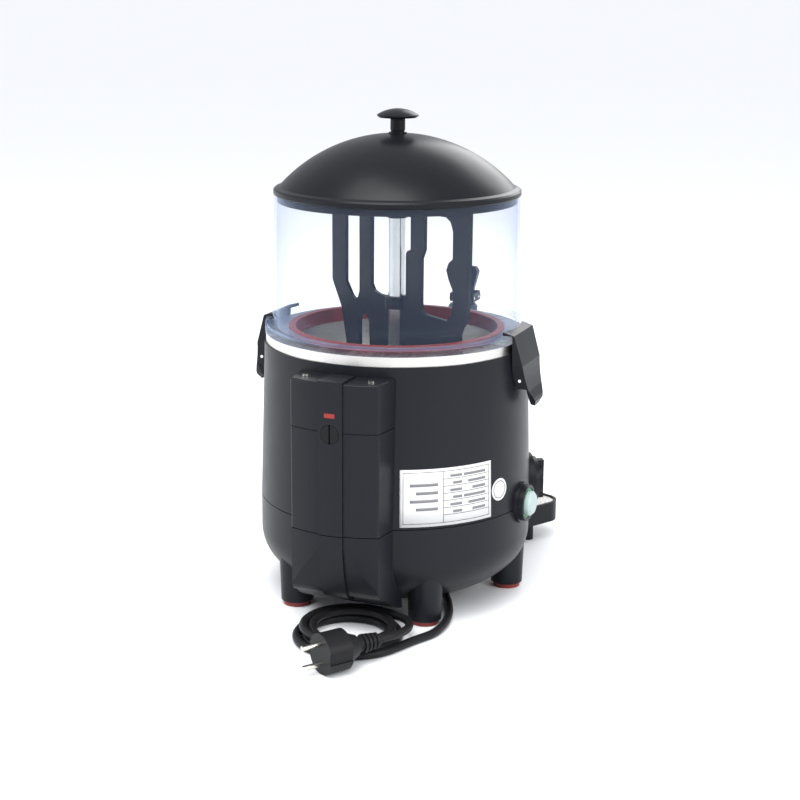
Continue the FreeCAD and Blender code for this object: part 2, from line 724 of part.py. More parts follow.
def make_lid():
    under = dim.bowl_top + 0.2
    bead_top = under + dim.bead_height
    skirt = dim.bowl_top_radius - dim.bowl_wall - dim.fit_gap
    wall = dim.dome_wall
    foot = bead_top + 1.5
    land, ball = dome_height(dim.land_radius, dim.dome_edge, dim.dome_rise, foot)
    seat = foot + dim.dome_rise + 0.8
    hole = dim.screw_radius + dim.run_gap * 5
    inner_top = foot + dim.dome_rise - wall
    bead = dim.bowl_top_radius + dim.bead_reach
    points = [(hole, inner_top), (hole, seat), (dim.land_radius, seat),
              (dim.land_radius, land, ball, False), (dim.dome_edge, foot),
              (bead - 1.6, bead_top), (bead, bead_top - 1.6), (bead, under + 0.8),
              (bead - 0.8, under), (skirt, under), (skirt, under - dim.skirt_drop),
              (skirt - wall, under - dim.skirt_drop), (skirt - wall, under + wall),
              (dim.dome_edge - wall * 1.2, foot - wall * 0.7, ball - wall, True)]
    part("lid_dome", turned("lid_body", points))
    top = seat + dim.knob_height
    rim = top - dim.knob_cap + dim.knob_rim
    rise = top - rim
    crown = (dim.knob_radius * dim.knob_radius + rise * rise) / (2 * rise)
    bore = dim.screw_radius + dim.run_gap
    knob = turned("knob_body", [
        (0, top, crown, False), (dim.knob_radius, rim), (dim.knob_radius, rim - 1.2),
        (dim.knob_radius - 1.6, top - dim.knob_cap), (dim.knob_stem + 1.6, top - dim.knob_cap),
        (dim.knob_stem, top - dim.knob_cap - 1.6), (dim.knob_stem, seat + 2.2),
        (dim.knob_stem - 0.6, seat + 1.6), (dim.knob_stem - 0.6, seat + 1.0),
        (dim.knob_stem, seat + 0.6), (dim.knob_stem, seat), (bore, seat),
        (bore, seat + 13), (0, seat + 13)])
    part("lid_knob", knob)
    head = inner_top - 0.08
    part("knob_screw", turned("screw_body", [
        (0, head - 2.6), (dim.screw_radius * 2, head - 2.6), (dim.screw_radius * 2, head),
        (dim.screw_radius, head), (dim.screw_radius, seat + 12.5), (0, seat + 12.5)]))


make_lid()


def make_column():
    part("column_tube", cut("tube_cut", rod("tube", dim.column_radius - 0.02,
         dim.column_top - dim.tank_floor, (0, 0, dim.tank_floor)),
        [rod("tube_bore", dim.column_bore, dim.column_top - dim.tank_floor + 2,
             (0, 0, dim.tank_floor - 1))]))
    bore = dim.shaft_radius + dim.run_gap
    spigot = dim.column_bore - 0.02
    top = dim.column_top
    part("column_bush", turned("bush_body", [
        (bore, top - dim.bush_spigot), (spigot, top - dim.bush_spigot), (spigot, top),
        (dim.bush_radius, top), (dim.bush_radius, top + dim.bush_height - 1.5),
        (dim.bush_radius - 1.5, top + dim.bush_height), (bore, top + dim.bush_height)]))
    square = dim.drive_square
    shaft_top = dim.paddle_head - dim.bar_depth
    foot = dim.bridge_height + dim.bridge_thick + 6
    shaft = rod("shaft_round", dim.shaft_radius, shaft_top - foot, (0, 0, foot))
    end = block("shaft_square", (square, square, dim.bar_depth - 2),
                (square / -2, square / -2, shaft_top))
    part("drive_shaft", common("shaft_all", fuse("shaft_stock", [shaft, end]),
                               rod("shaft_limit", dim.shaft_radius,
                                   dim.paddle_head, (0, 0, 0))), dim.paddle_angle)


make_column()


def make_paddle():
    """Flat stirring paddle: four arms, a lower web with hub and a driven top bar."""
    foot, head = dim.paddle_foot, dim.paddle_head
    near, far = dim.paddle_near, -dim.paddle_far
    bar = head - dim.bar_depth
    arm = dim.arm_width
    outline = [(far + arm + 1, foot + 22), (far + arm + 3, foot), (-57, foot), (-57, 268),
               (-53, 274.5), (-46, 275), (-41, 268), (-39, foot), (near - 27, foot),
               (near - 12, foot + 18), (near - 12, 276), (near - 9.5, 283), (near - 3.5, 290),
               (near, 312), (near, head), (far, head), (far, 303), (far + 15, 277)]
    plate = slab("paddle_plate", "XZ", outline, dim.paddle_thick, None, True)
    windows = [
        [(far + arm, bar), (far + arm, 304), (-70, 291), (-64.5, 287.5), (-59.5, 290),
         (-56.8, 297), (-56.8, bar)],
        [(-38, bar), (-38, 307), (-34, 301), (-26, 298.5), (-11, 297.5), (-11, 302),
         (15.7, 302), (15.7, 344), (17.5, 347), (22.7, 349), (22.7, bar)],
        [(42.7, bar), (42.7, 351), (38.4, 342), (38.4, 293), (44.5, 288.2),
         (77, 286.8), (83.6, 294.5), (85.4, 306), (84.4, 318), (78.8, 327), (75.2, 336),
         (78.4, 343.3), (84.2, 347.6), (84.2, 374), (80.5, 382.5), (74, bar)]]
    tools = [slab("paddle_window_%d" % (i + 1), "XZ", points, dim.paddle_thick + 2, None, True)
             for i, points in enumerate(windows)]
    web_bore = block("column_slot", (2 * dim.column_radius + 2.4, dim.hub_radius * 2,
                                     dim.hub_low - foot + 2),
                     (0 - dim.column_radius - 1.2, 0 - dim.hub_radius, foot - 1))
    plate = cut("paddle_open", plate, tools + [web_bore])
    hub = rod("paddle_hub", dim.hub_radius, dim.hub_height, (0, 0, dim.hub_low))
    top_hub = rod("paddle_top_hub", dim.hub_radius, dim.bar_depth, (0, 0, bar))
    skirt = cut("hub_skirt_cut", rod("hub_skirt", dim.hub_radius, dim.hub_low - foot,
                                     (0, 0, foot)),
                [block("skirt_gap", (2 * dim.hub_radius, dim.hub_radius * 2, 300),
                       (0 - dim.hub_radius, 0 - dim.hub_radius * 2 - dim.paddle_thick / 2, 100)),
                 block("skirt_gap_2", (2 * dim.hub_radius, dim.hub_radius * 2, 300),
                       (0 - dim.hub_radius, dim.paddle_thick / 2, 100))])
    body = fuse("paddle_body", [plate, hub, top_hub, skirt])
    square = dim.drive_square + 2 * dim.run_gap
    socket = block("paddle_socket", (square, square, dim.bar_depth - 1.8),
                   (square / -2, square / -2, bar - 0.01))
    bore = rod("paddle_bore", dim.column_radius - 0.02 + dim.run_gap, dim.hub_low
               + dim.hub_height - foot + 4, (0, 0, foot - 2))
    part("paddle", cut("paddle_cut", body, [bore, socket]), dim.paddle_angle)


make_paddle()


def make_motor():
    bridge = dim.bridge_height
    plate = common("bridge_stock", block("bridge_bar", (300, dim.bridge_width,
                   dim.bridge_thick), (-150, dim.bridge_width / -2, bridge)),
                   rod("bridge_limit", dim.seam_radius - dim.casing_wall - 1.9, dim.bridge_thick,
                       (0, 0, bridge)))
    part("motor_bridge", cut("bridge_cut", plate, [
        rod("bridge_hole", dim.coupling_radius + 1, 20, (0, 0, bridge - 10))]))
    can = rod("motor_can", dim.motor_radius, dim.motor_height - 26, (0, 0, dim.motor_foot))
    gear = rod("gear_case", dim.motor_radius + 6, bridge - dim.motor_foot
               - dim.motor_height + 26, (0, 0, dim.motor_foot + dim.motor_height - 26))
    cap = rod("motor_cap", dim.motor_radius - 12, 5, (0, 0, dim.motor_foot - 5))
    part("gear_motor", fuse("motor_all", [can, gear, cap]))
    coupling = rod("coupling_stock", dim.coupling_radius, dim.coupling_height,
                   (0, 0, bridge + dim.fit_gap))
    part("shaft_coupling", cut("coupling_cut", coupling, [
        rod("coupling_bore", dim.shaft_radius + 0.02, 40,
            (0, 0, bridge + dim.bridge_thick + 6))]), dim.paddle_angle)


make_motor()


def make_rear():
    """Rear cover with its bowed face, the raised strip and the level plug."""
    low = dim.seam_height + dim.seam_gap
    plan = slab("rear_plan", "XY", cover_plan(dim.cover_reach, dim.cover_half,
                dim.cover_root, dim.cover_bow), dim.cover_top - low, low)
    round_edges(plan, Size(3, "3"), lambda e: e.BoundBox.ZLength > 100
                and e.CenterOfMass.y > float(dim.top_radius))
    round_edges(plan, Size(1.6, "1.6"), lambda e: e.BoundBox.ZMin > float(dim.cover_top) - 0.1
                and e.CenterOfMass.y > float(dim.top_radius))
    groove = cut("rear_groove_cut", slab("rear_groove", "XY", cover_plan(
        dim.cover_reach + 1, dim.cover_half + 1, dim.cover_root + 1, dim.cover_bow),
        dim.line_width, dim.cover_line), [
        slab("rear_groove_core", "XY", cover_plan(
            dim.cover_reach - 0.8, dim.cover_half - 0.8, dim.cover_root - 1, dim.cover_bow),
            dim.line_width + 2, dim.cover_line - 1)])
    bore = rod("rear_plug_bore", dim.plug_radius + dim.fit_gap, 60,
               (0, dim.cover_reach - 9, dim.plug_height), "y")
    pipe = rod("rear_pipe_bore", dim.pipe_radius + dim.fit_gap, 60, (0, 110, dim.plug_height),
               "y")
    part("rear_cover", cut("rear_cut", plan, [envelope, groove, bore, pipe]))
    strip_plan = slab("strip_plan", "XY", cover_plan(
        dim.cover_reach + dim.strip_proud, dim.cover_half + 2, dim.cover_root, dim.cover_bow),
        dim.cover_top + dim.strip_proud - low, low)
    band = block("strip_band", (2 * dim.strip_half, 60, 300), (0 - dim.strip_half,
                 dim.top_radius + 3, 0))
    core = slab("strip_core", "XY", cover_plan(dim.cover_reach, dim.cover_half,
                dim.cover_root, dim.cover_bow), dim.cover_top - low + 1, low - 1)
    part("rear_strip", cut("strip_cut", common("strip_stock", strip_plan, band),
                           [core, bore]))
    head = dim.cover_reach + dim.strip_proud
    plug = rod("plug_head", dim.plug_radius, 8, (0, head - 8, dim.plug_height), "y")
    slot = block("plug_slot_cut", (dim.plug_slot, 4, 40), (dim.plug_slot / -2, head - 2.4,
                 dim.plug_height - 20))
    part("level_plug", cut("plug_cut", plug, [slot]))
    start = dim.tank_radius - dim.steel_wall - 4
    pipe_stock = rod("pipe_stock", dim.pipe_radius - 0.05, head - 8 - dim.fit_gap - start,
                     (0, start, dim.plug_height), "y")
    part("level_pipe", cut("pipe_cut", pipe_stock, [
        rod("pipe_bore", dim.pipe_radius - 1.5, 200, (0, 60, dim.plug_height), "y")]))
    screws = []
    for side in (-1, 1):
        screws.append(rod("cover_screw_%d" % (side + 2), 3.2, 1.4,
                          (dim.cover_screw_span * side, dim.cover_reach - dim.cover_bow - 10,
                           dim.cover_top)))
    part("cover_screws", fuse("cover_screw_pair", screws))


make_rear()


def make_front_cover():
    """Plain cover under the tap, of the same family as the rear one."""
    low = dim.seam_height + dim.seam_gap
    plan = slab("front_plan", "XY", cover_plan(dim.front_reach, dim.front_half,
                dim.front_half + 4, dim.cover_bow / 2), dim.cover_top - low, low)
    round_edges(plan, Size(3, "3"), lambda e: e.BoundBox.ZLength > 100
                and e.CenterOfMass.y > float(dim.top_radius) - 10)
    bore = rod("front_bore", dim.inlet_radius + dim.fit_gap, 80, (0, 100, dim.tap_height), "y")
    part("front_cover", cut("front_cut", plan, [envelope, bore]), 180)


make_front_cover()


def make_latches():
    """Two rocking latches that hold the bowl down, each on a pin in a bracket."""
    pin_x, pin_z = dim.latch_pin_reach, dim.latch_pin_height
    top = dim.shelf_height + dim.flange_lip + dim.fit_gap
    reach = dim.latch_reach
    lean = reach - 17.5
    profile = [(dim.bowl_low_radius - 2, top), (dim.bowl_low_radius - 2, top + dim.latch_lip),
               (lean, top + 0.4), (reach - 9, pin_z + 15, Size(150, "150"), True),
               (reach - 4.2, pin_z - 10.5), (reach - 0.9, pin_z - 18), (reach, pin_z - 22),
               (reach - 2.6, dim.latch_tip), (reach - 6.2, dim.latch_tip + 1.6),
               (pin_x + 6, pin_z - 9), (pin_x - 3.5, pin_z - 8.6), (dim.top_radius - 1, pin_z + 4),
               (dim.top_radius - 1, top)]
    half = dim.latch_half
    front = [(0 - half, top + 20), (0 - half, top), (half / -1.06, pin_z + 15),
             (half / -1.4, pin_z - 10.5), (half / -2.3, pin_z - 21), (-6, dim.latch_tip),
             (6, dim.latch_tip), (half / 2.3, pin_z - 21), (half / 1.4, pin_z - 10.5),
             (half / 1.06, pin_z + 15), (half, top), (half, top + 20)]
    wall = dim.latch_wall
    hollow_side = [(dim.top_radius - 4, pin_z - 12), (pin_x + 5, pin_z - 12),
                   (reach - 4.8 - wall, pin_z - 8), (reach - 9 - wall, pin_z + 15),
                   (lean - wall + 2.6, top - 8), (lean - wall + 1.9, top), (dim.top_radius - 4,
                                                                            top)]
    hollow_front = [(half / -1.06 + wall, pin_z + 15), (half / -1.4 + wall, pin_z - 12),
                    (half / 1.4 - wall, pin_z - 12), (half / 1.06 - wall, pin_z + 15),
                    (half - wall, top), (wall - half, top)]
    for node, turn in (("latch_left", 180), ("latch_right", 0)):
        side = slab(node + "_side", "XZ", profile, 2 * half + 2, None, True)
        face = slab(node + "_face", "YZ", front, 2 * reach + 2, None, True)
        stock = common(node + "_stock", side, face)
        space = common(node + "_space",
                       slab(node + "_hs", "XZ", hollow_side, 2 * half, None, True),
                       slab(node + "_hf", "YZ", hollow_front, 2 * reach, None, True))
        mouth = rod(node + "_mouth", dim.bowl_low_radius + 2.4, 60, (0, 0, top - 1))
        hole = rod(node + "_hole", dim.latch_pin_radius + dim.run_gap, 80, (pin_x, 40, pin_z),
                   "-y")
        part(node, cut(node + "_cut", stock, [space, mouth, hole]), turn)
    brackets, pins = [], []
    eye = dim.latch_pin_radius + 1.4
    for side in (-1, 1):
        name = "latch_bracket_%d" % (side + 2)
        start = dim.top_radius - 4
        bar = block(name + "_bar", (pin_x - start, 16, eye * 2), (start, -8, pin_z - eye))
        ring = rod(name + "_eye", eye, 16, (pin_x, 8, pin_z), "-y")
        stock = cut(name + "_cut", fuse(name + "_stock", [bar, ring]), [envelope, rod(
            name + "_hole", dim.latch_pin_radius + 0.02, 40, (pin_x, 20, pin_z), "-y")])
        stock.Placement = FreeCAD.Placement(Vector(), FreeCAD.Rotation(Vector(0, 0, 1),
                                                                       90 - 90 * side))
        brackets.append(stock)
        pins.append(rod("latch_pin_%d" % (side + 2), dim.latch_pin_radius,
                        2 * half / 1.2 + 1.2, (pin_x * side, half / 1.2 + 0.6, pin_z), "-y"))
    part("latch_brackets", fuse("bracket_pair", brackets))
    part("latch_pins", fuse("pin_pair", pins))


make_latches()


def make_switch():
    """Round lit push switch, drawn at the front and turned to its place."""
    height = dim.switch_height
    turn = 0 - dim.switch_angle
    start = dim.seam_radius - 6
    collar = rod("switch_tube", dim.switch_collar, dim.collar_reach - start,
                 (0, 0 - start, height), "-y")
    flange = rod("switch_plate", dim.switch_flange, dim.seam_radius + 2.4 - start,
                 (0, 0 - start, height), "-y")
    bore = rod("switch_bore", dim.switch_ring + 0.3, 60, (0, 0 - start + 2, height), "-y")
    part("switch_bezel", cut("bezel_cut", fuse("bezel_stock", [collar, flange]),
                             [envelope, bore]), turn)
    back = dim.seam_radius + 2
    ring = rod("ring_stock", dim.switch_ring, dim.collar_reach - 0.6 - back,
               (0, 0 - back, height), "-y")
    part("switch_ring", cut("ring_cut", ring, [
        rod("ring_bore", dim.switch_button + 0.3, 60, (0, -110, height), "-y")]), turn)
    clear = back + dim.button_travel + 0.7
    button = rod("button_stock", dim.switch_button, dim.button_reach - 2.4 - clear,
                 (0, 0 - clear, height), "-y")
    face = cone("button_face", dim.switch_button, dim.switch_button - 2.4, 2.4,
                (0, 0 - dim.button_reach + 2.4, height), "-y")
    part("switch_button", fuse("button_all", [button, face]), turn)
    part("switch_body", fuse("switch_inside", [
        rod("switch_case", dim.switch_ring - 2.6, back - 112, (0, -112, height), "-y"),
        block("switch_terminals", (16, 12, 3), (-8, -112, height - 1.5))]), turn)


make_switch()


def make_thermostat():
    height = dim.dial_height
    turn = 0 - dim.dial_angle
    start = dim.seam_radius - 8
    ring_end = dim.seam_radius + 4.5
    ring = rod("dial_ring_stock", dim.dial_base, ring_end - start, (0, 0 - start, height), "-y")
    part("thermostat_ring", cut("dial_ring_cut", ring, [envelope, rod(
        "dial_ring_bore", dim.coupling_radius - 1, 60, (0, -110, height), "-y")]), turn)
    face = ring_end + dim.fit_gap
    disc = cone("dial_disc", dim.dial_radius, dim.dial_radius - 1.5, 5, (0, 0 - face, height),
                "-y")
    grip = block("dial_grip", (9, dim.dial_reach - face - 4, 2 * dim.dial_radius - 8),
                 (-4.5, 0 - dim.dial_reach, height - dim.dial_radius + 4))
    boss = rod("dial_boss", dim.dial_radius - 9, dim.dial_reach - face - 2.5,
               (0, 0 - face, height), "-y")
    hole = rod("dial_hole_in", 3 + dim.run_gap, 10, (0, 0 - face + 1, height), "-y")
    part("thermostat_knob", cut("dial_cut", fuse("dial_all", [disc, grip, boss]), [hole]), turn)
    case = block("thermostat_case", (34, 18, 40), (-17, -124, height - 20))
    spindle = rod("thermostat_spindle", 3, face + 7 - 120, (0, -120, height), "-y")
    part("thermostat_body", fuse("thermostat_all", [case, spindle]), turn)


make_thermostat()


def make_tap():
    """Lever tap: valve body, bonnet, rod with seal, spring and lever."""
    reach = 0 - dim.tap_reach
    height = dim.tap_height
    seat, mouth = dim.seat_height, dim.outlet_height
    chamber = rod("tap_chamber", dim.tap_radius, dim.tap_top - seat + 6, (0, reach, seat - 6))
    taper = cone("tap_taper", dim.spout_radius, dim.tap_radius, 8, (0, reach, seat - 14))
    spout = rod("tap_spout", dim.spout_radius, seat - 12 - mouth, (0, reach, mouth))
    inside = 0 - dim.pan_radius - dim.steel_wall - 0.05
    pipe = rod("tap_pipe", dim.inlet_radius - 0.02, dim.tap_reach + inside,
               (0, inside, height), "-y")
    flange = rod("tap_flange", dim.inlet_radius + 7, 5, (0, 0 - dim.front_reach - 0.1, height),
                 "-y")
    body = fuse("tap_stock", [chamber, taper, spout, pipe, flange])
    bores = [rod("tap_bore_cut", dim.tap_bore, dim.tap_top - seat + 1, (0, reach, seat)),
             rod("tap_mouth_cut", dim.spout_bore, seat - mouth + 2, (0, reach, mouth - 1)),
             rod("tap_inlet_cut", dim.inlet_bore, dim.tap_reach - dim.pan_radius + 2,
                 (0, inside + 1, height), "-y")]
    part("tap_body", cut("tap_cut", body, bores))
    nut_out = rod("tap_nut_stock", dim.inlet_radius + 5, 5, (0, 0 - dim.tank_radius - 0.1,
                  height), "-y")
    part("tap_nut", cut("tap_nut_cut", nut_out, [rod("tap_nut_bore", dim.inlet_radius + 0.02, 60,
                        (0, -90, height), "-y")]))
    top = dim.tap_top
    bonnet_top = top + dim.bonnet_height
    rim = turned("bonnet_body", [
        (dim.rod_radius + dim.run_gap, top - 4), (dim.tap_bore - 0.05, top - 4),
        (dim.tap_bore - 0.05, top), (dim.tap_radius + 1, top),
        (dim.tap_radius + 1, bonnet_top - 2), (dim.tap_radius - 1, bonnet_top),
        (dim.rod_radius + dim.run_gap, bonnet_top)])
    place(rim, (0, reach, 0))
    pin_y = reach - dim.lever_arm
    pin_z = dim.lever_pin_height
    eye = dim.lever_pin_radius + 2.2
    ears = []
    for side in (-1, 1):
        base_x = 6.6 * side - 1.5
        ears.append(block("ear_%d" % (side + 2), (3, eye * 2, pin_z - bonnet_top + 2),
                          (base_x, pin_y - eye, bonnet_top - 2)))
        ears.append(place(rod("ear_eye_%d" % (side + 2), eye, 3, (0, 0, 0)),
                          (base_x, pin_y, pin_z), "x"))
    part("tap_bonnet", cut("bonnet_cut", fuse("bonnet_all", [rim] + ears), [
        place(rod("ear_bore", dim.lever_pin_radius + 0.02, 60, (0, 0, 0)),
              (-30, pin_y, pin_z), "x")]))
    make_lever(reach, pin_y, pin_z)
    make_valve(reach, pin_z)


def make_lever(reach, pin_y, pin_z):
    """Lever: a yoke round the rod's cross pin, and a handle that widens upwards."""
    half, wall = dim.yoke_half, dim.yoke_wall
    yoke_side = [(pin_y - 5, pin_z - 4), (reach + 5, pin_z - 4), (reach + 6.5, pin_z + 1),
                 (reach + 5, pin_z + 5.2), (pin_y - 5, pin_z + 5.2), (pin_y - 7.5, pin_z)]
    yoke = slab("yoke_stock", "YZ", yoke_side, 2 * half, None, True)
    gap = block("yoke_gap", (2 * (half - wall), dim.lever_arm + 40, 30),
                (wall - half, pin_y - 12, pin_z - 8))
    yoke = cut("yoke_cut", yoke, [gap])
    roof = block("yoke_roof", (2 * half, 6, 2.4), (0 - half, pin_y - 4, pin_z + 4.2))
    top = dim.handle_top
    low = pin_z + 4.2
    thick = dim.handle_thick
    handle_side = slab("handle_side", "YZ", [
        (pin_y - 7, low), (pin_y - 5 + thick - 2, low), (pin_y - 9 + thick, top - 3),
        (pin_y - 10 + thick, top), (pin_y - 10, top), (pin_y - 12, top - 3)], 60, None, True)
    handle_face = slab("handle_face", "XZ", [
        (-6, low - 1), (6, low - 1), (dim.handle_half, top - 6), (dim.handle_half - 3.5, top),
        (3.5 - dim.handle_half, top), (0 - dim.handle_half, top - 6)], 600, None, True)
    handle = common("handle", handle_side, handle_face)
    travel = 0.45
    slot_half = dim.lever_pin_radius + travel
    slots = block("rod_pin_slot", (80, 6.4, slot_half * 2), (-40, reach - 3.2, pin_z
                  - slot_half - 0.05))
    pin_hole = place(rod("lever_pin_hole", dim.lever_pin_radius + dim.run_gap, 80, (0, 0, 0)),
                     (-40, pin_y, pin_z), "x")
    part("tap_lever", cut("lever_cut", fuse("lever_all", [yoke, roof, handle]),
                          [slots, pin_hole]))
    part("lever_pin", place(rod("lever_pin_rod", dim.lever_pin_radius, 2 * half + 1, (0, 0, 0)),
                            (0 - half - 0.5, pin_y, pin_z), "x"))


def make_valve(reach, pin_z):
    """Rod with its seal cup and cross pin, and the spring that closes it."""
    seat = dim.seat_height
    rod_foot = seat + 4
    stem = rod("rod_stem", dim.rod_radius, pin_z + 3.4 - rod_foot, (0, reach, rod_foot))
    collar = rod("rod_collar", dim.tap_bore - 0.6, 3, (0, reach, rod_foot))
    part("tap_rod", cut("rod_cut", fuse("rod_all", [stem, collar]), [
        place(rod("rod_pin_hole", dim.lever_pin_radius + 0.02, 60, (0, 0, 0)),
              (-30, reach, pin_z), "x")]))
    part("tap_seal", cone("seal_cone", dim.spout_bore + 0.6, dim.tap_bore - 1.2,
                          4 - dim.fit_gap, (0, reach, seat + dim.fit_gap)))
    part("rod_pin", place(rod("rod_pin_rod", dim.lever_pin_radius, 2 * dim.yoke_half - 0.6,
                              (0, 0, 0)), (0.3 - dim.yoke_half, reach, pin_z), "x"))
    make_bellows(reach, rod_foot + 3, dim.tap_top - 4)


def biarc(start, start_way, end, end_way):
    """Two arcs that join two points with the given directions."""
    span = end - start
    ways = start_way + end_way
    a = ways.dot(ways) - 4
    b = -2 * span.dot(ways)
    c = span.dot(span)
    if abs(a) < 1e-9:
        reach = -c / b
    else:
        reach = (-b - math.sqrt(b * b - 4 * a * c)) / (2 * a)
        if reach < 0:
            reach = (-b + math.sqrt(b * b - 4 * a * c)) / (2 * a)
    first, last = start + start_way * reach, end - end_way * reach
    joint = (first + last) * 0.5
    return [arc_from(start, start_way, joint), arc_from(joint, (last - first).normalize(), end)]


def arc_from(start, way, end):
    """Arc that leaves start along way and ends at end; a line where it is straight."""
    chord = end - start
    across = chord - way * chord.dot(way)
    if across.Length < 1e-6 * chord.Length:
        return Part.LineSegment(start, end)
    side = across.normalize()
    radius = chord.dot(chord) / (2 * chord.dot(side))
    centre = start + side * radius
    middle = start + chord * 0.5 - centre
    return Part.Arc(start, centre + middle.normalize() * radius, end)


def tube(edges, radius):
    """Round tube along joined edges; returns its solid and its path length."""
    path = Part.Wire([edge.toShape() for edge in edges])
    first = path.Edges[0]
    circle = Part.Circle(first.valueAt(first.FirstParameter),
                         first.tangentAt(first.FirstParameter), radius)
    pipe = Part.BRepOffsetAPI.MakePipeShell(path)
    pipe.add(Part.Wire(circle.toShape()))
    pipe.build()
    pipe.makeSolid()
    solid = pipe.shape()
    if solid.Volume < 0:
        solid.reverse()
    return solid, path.Length


def winding(centre, start_angle, turns, radius_at, height_at, clockwise):
    """Quarter-turn points and directions of a winding about a vertical line."""
    sign = -1 if clockwise else 1

    def spot(t):
        angle = math.radians(start_angle + sign * 360 * t)
        return Vector(centre.x + radius_at(t) * math.cos(angle),
                      centre.y + radius_at(t) * math.sin(angle), centre.z + height_at(t))
    steps = int(round(turns * 4))
    marks = [i / 4 for i in range(steps + 1)]
    small = 1e-4
    places = [spot(t) for t in marks]
    ways = []
    for t in marks:
        low, high = max(t - small, 0), min(t + small, turns)
        ways.append((spot(high) - spot(low)).normalize())
    return places, ways


def make_bellows(reach, foot, top):
    """Silicone bellows round the rod: it keeps drink off the rod and springs it shut."""
    folds = 5
    inner, outer, wall = dim.rod_radius + 0.5, dim.tap_bore - 1.2, 0.9
    step = (top - foot) / folds
    outside, inside = [], []
    for i in range(folds):
        low = foot + step * i
        outside += [(inner + 1.6, low), (outer, low + step * 0.5)]
        inside += [(inner, low), (outer - wall * 1.3, low + step * 0.5)]
    outside.append((inner + 1.6, top))
    inside.append((inner, top))
    bellows = turned("bellows_body", outside + inside[::-1])
    part("tap_bellows", place(bellows, (0, reach, 0)))


make_tap()


def sector(name, outer, inner, half_angle, foot, height, corner):
    """Sector of a ring round the axis, towards the front, with round front corners."""
    ring = cut(name + "_ring", rod(name + "_disc", outer, height, (0, 0, foot)),
               [rod(name + "_core", inner, height + 2, (0, 0, foot - 1))])
    spread = Size(math.tan(math.radians(float(half_angle))),
                  "tan(%s * 1deg)" % text_of(half_angle))
    wide = (outer + 40) * spread
    wedge = slab(name + "_wedge", "XY", [(0, 0), (0 - wide, 0 - outer - 40),
                                         (wide, 0 - outer - 40)], height, foot)
    piece = common(name + "_piece", ring, wedge)
    edges = [(i + 1, float(corner), float(corner)) for i, e in enumerate(piece.Shape.Edges)
             if e.BoundBox.ZLength > float(height) * 0.9
             and e.BoundBox.XLength + e.BoundBox.YLength < 0.01
             and math.hypot(e.CenterOfMass.x, e.CenterOfMass.y) > float(outer) - 1]
    fillet = DOC.addObject("Part::Fillet", name + "_corners")
    fillet.Base = piece
    fillet.Edges = edges
    DOC.recompute()
    return fillet


def make_tray():
    wall = dim.tray_wall
    rim, floor = dim.tray_rim, dim.tray_floor
    tray_out = sector("tray_out", dim.tray_reach, dim.tray_inner, dim.tray_half_angle, floor,
                      rim - floor, dim.tray_corner)
    inset_angle = dim.tray_half_angle - 0.85
    tray_in = sector("tray_in", dim.tray_reach - wall, dim.tray_inner + wall, inset_angle,
                     floor + wall, rim - floor, dim.tray_corner - wall)
    feet = []
    for i, (angle, circle) in enumerate(((25.5, dim.tray_foot_circle), (-25.5,
                                         dim.tray_foot_circle), (18, dim.tray_inner + 14),
                                        (-18, dim.tray_inner + 14))):
        x, y = polar(circle, 270 + angle)
        feet.append(rod("tray_foot_%d" % (i + 1), dim.tray_foot_radius, floor + 1, (x, y, 0)))
    ledges = sector("ledge_out", dim.tray_reach - wall / 2, dim.tray_inner + wall / 2,
                    dim.tray_half_angle - 0.4, rim - dim.grid_drop - dim.grid_thick - 3, 3,
                    dim.tray_corner - wall / 2)
    ledge_in = sector("ledge_in", dim.tray_reach - wall - 3, dim.seam_radius + 4.2,
                      dim.tray_half_angle - 1.9, rim - dim.grid_drop - dim.grid_thick - 4, 6,
                      dim.tray_corner - wall - 3)
    ledge = cut("ledge", ledges, [ledge_in])
    shell = cut("tray_shell", tray_out, [tray_in])
    part("drip_tray", fuse("tray_all", [shell, ledge] + feet))
    grid = sector("grid_stock", dim.tray_reach - wall - 0.4, dim.seam_radius + 1.2,
                  dim.tray_half_angle - 1.0, rim - dim.grid_drop - dim.grid_thick,
                  dim.grid_thick, dim.tray_corner - wall - 0.4)
    slots = []
    count = 6
    for i in range(-count, count + 1):
        far = math.sqrt((float(dim.tray_reach) - 16) ** 2 - (12 * i) ** 2)
        near = max(float(dim.tray_inner) + 14, abs(12 * i) / math.tan(
            math.radians(float(dim.tray_half_angle))) + 16)
        if far - near > 12:
            bar = block("slot_%d" % (i + count), (dim.slot_width, far - near, 12),
                        (dim.slot_pitch * i - dim.slot_width / 2, -far, rim - 8))
            slots.append(bar)
    part("drip_grid", cut("grid_cut", grid, [fuse("slots", slots)]))


make_tray()


def along(start, way, distance):
    return start + way * distance


# Mains cord, measured from the machine axis in millimetres
FLAT = float(dim.cord_radius) + float(dim.floor_gap)
ENTRY_WAY = Vector(-0.576, 0.817, 0).normalize()
LEAD_ROUTE = [(-52, 10, 7.9), (-64, 27, 7.4), (-76, 47, 4.6), (-86, 72, FLAT),
              (-91.5, 100, FLAT), (-90, 127, FLAT), (-79, 148.4, FLAT)]


TAIL_ROUTE = [(-54.6, 120.3, 12.75),
              (-67.8, 133.4, 14.60),
              (-75.1, 155.1, 16.90),
              (-72.0, 177.7, 19.10)]


def coil_course():
    """Flat coil of two layers: in two turns, up in half a turn, out one and a half."""
    centre = Vector(float(dim.coil_x), float(dim.coil_y), FLAT)
    outer, pitch = float(dim.coil_radius), float(dim.coil_pitch)
    inmost, climb, total = 2.25, 0.5, 3.75

    def radius_at(t):
        return outer - pitch * (inmost - abs(t - inmost))

    def height_at(t):
        rise = min(max((t - inmost) / climb + 0.5, 0.0), 1.0)
        return pitch * rise * rise * (3 - 2 * rise)
    return winding(centre, float(dim.coil_start), total, radius_at, height_at, True)


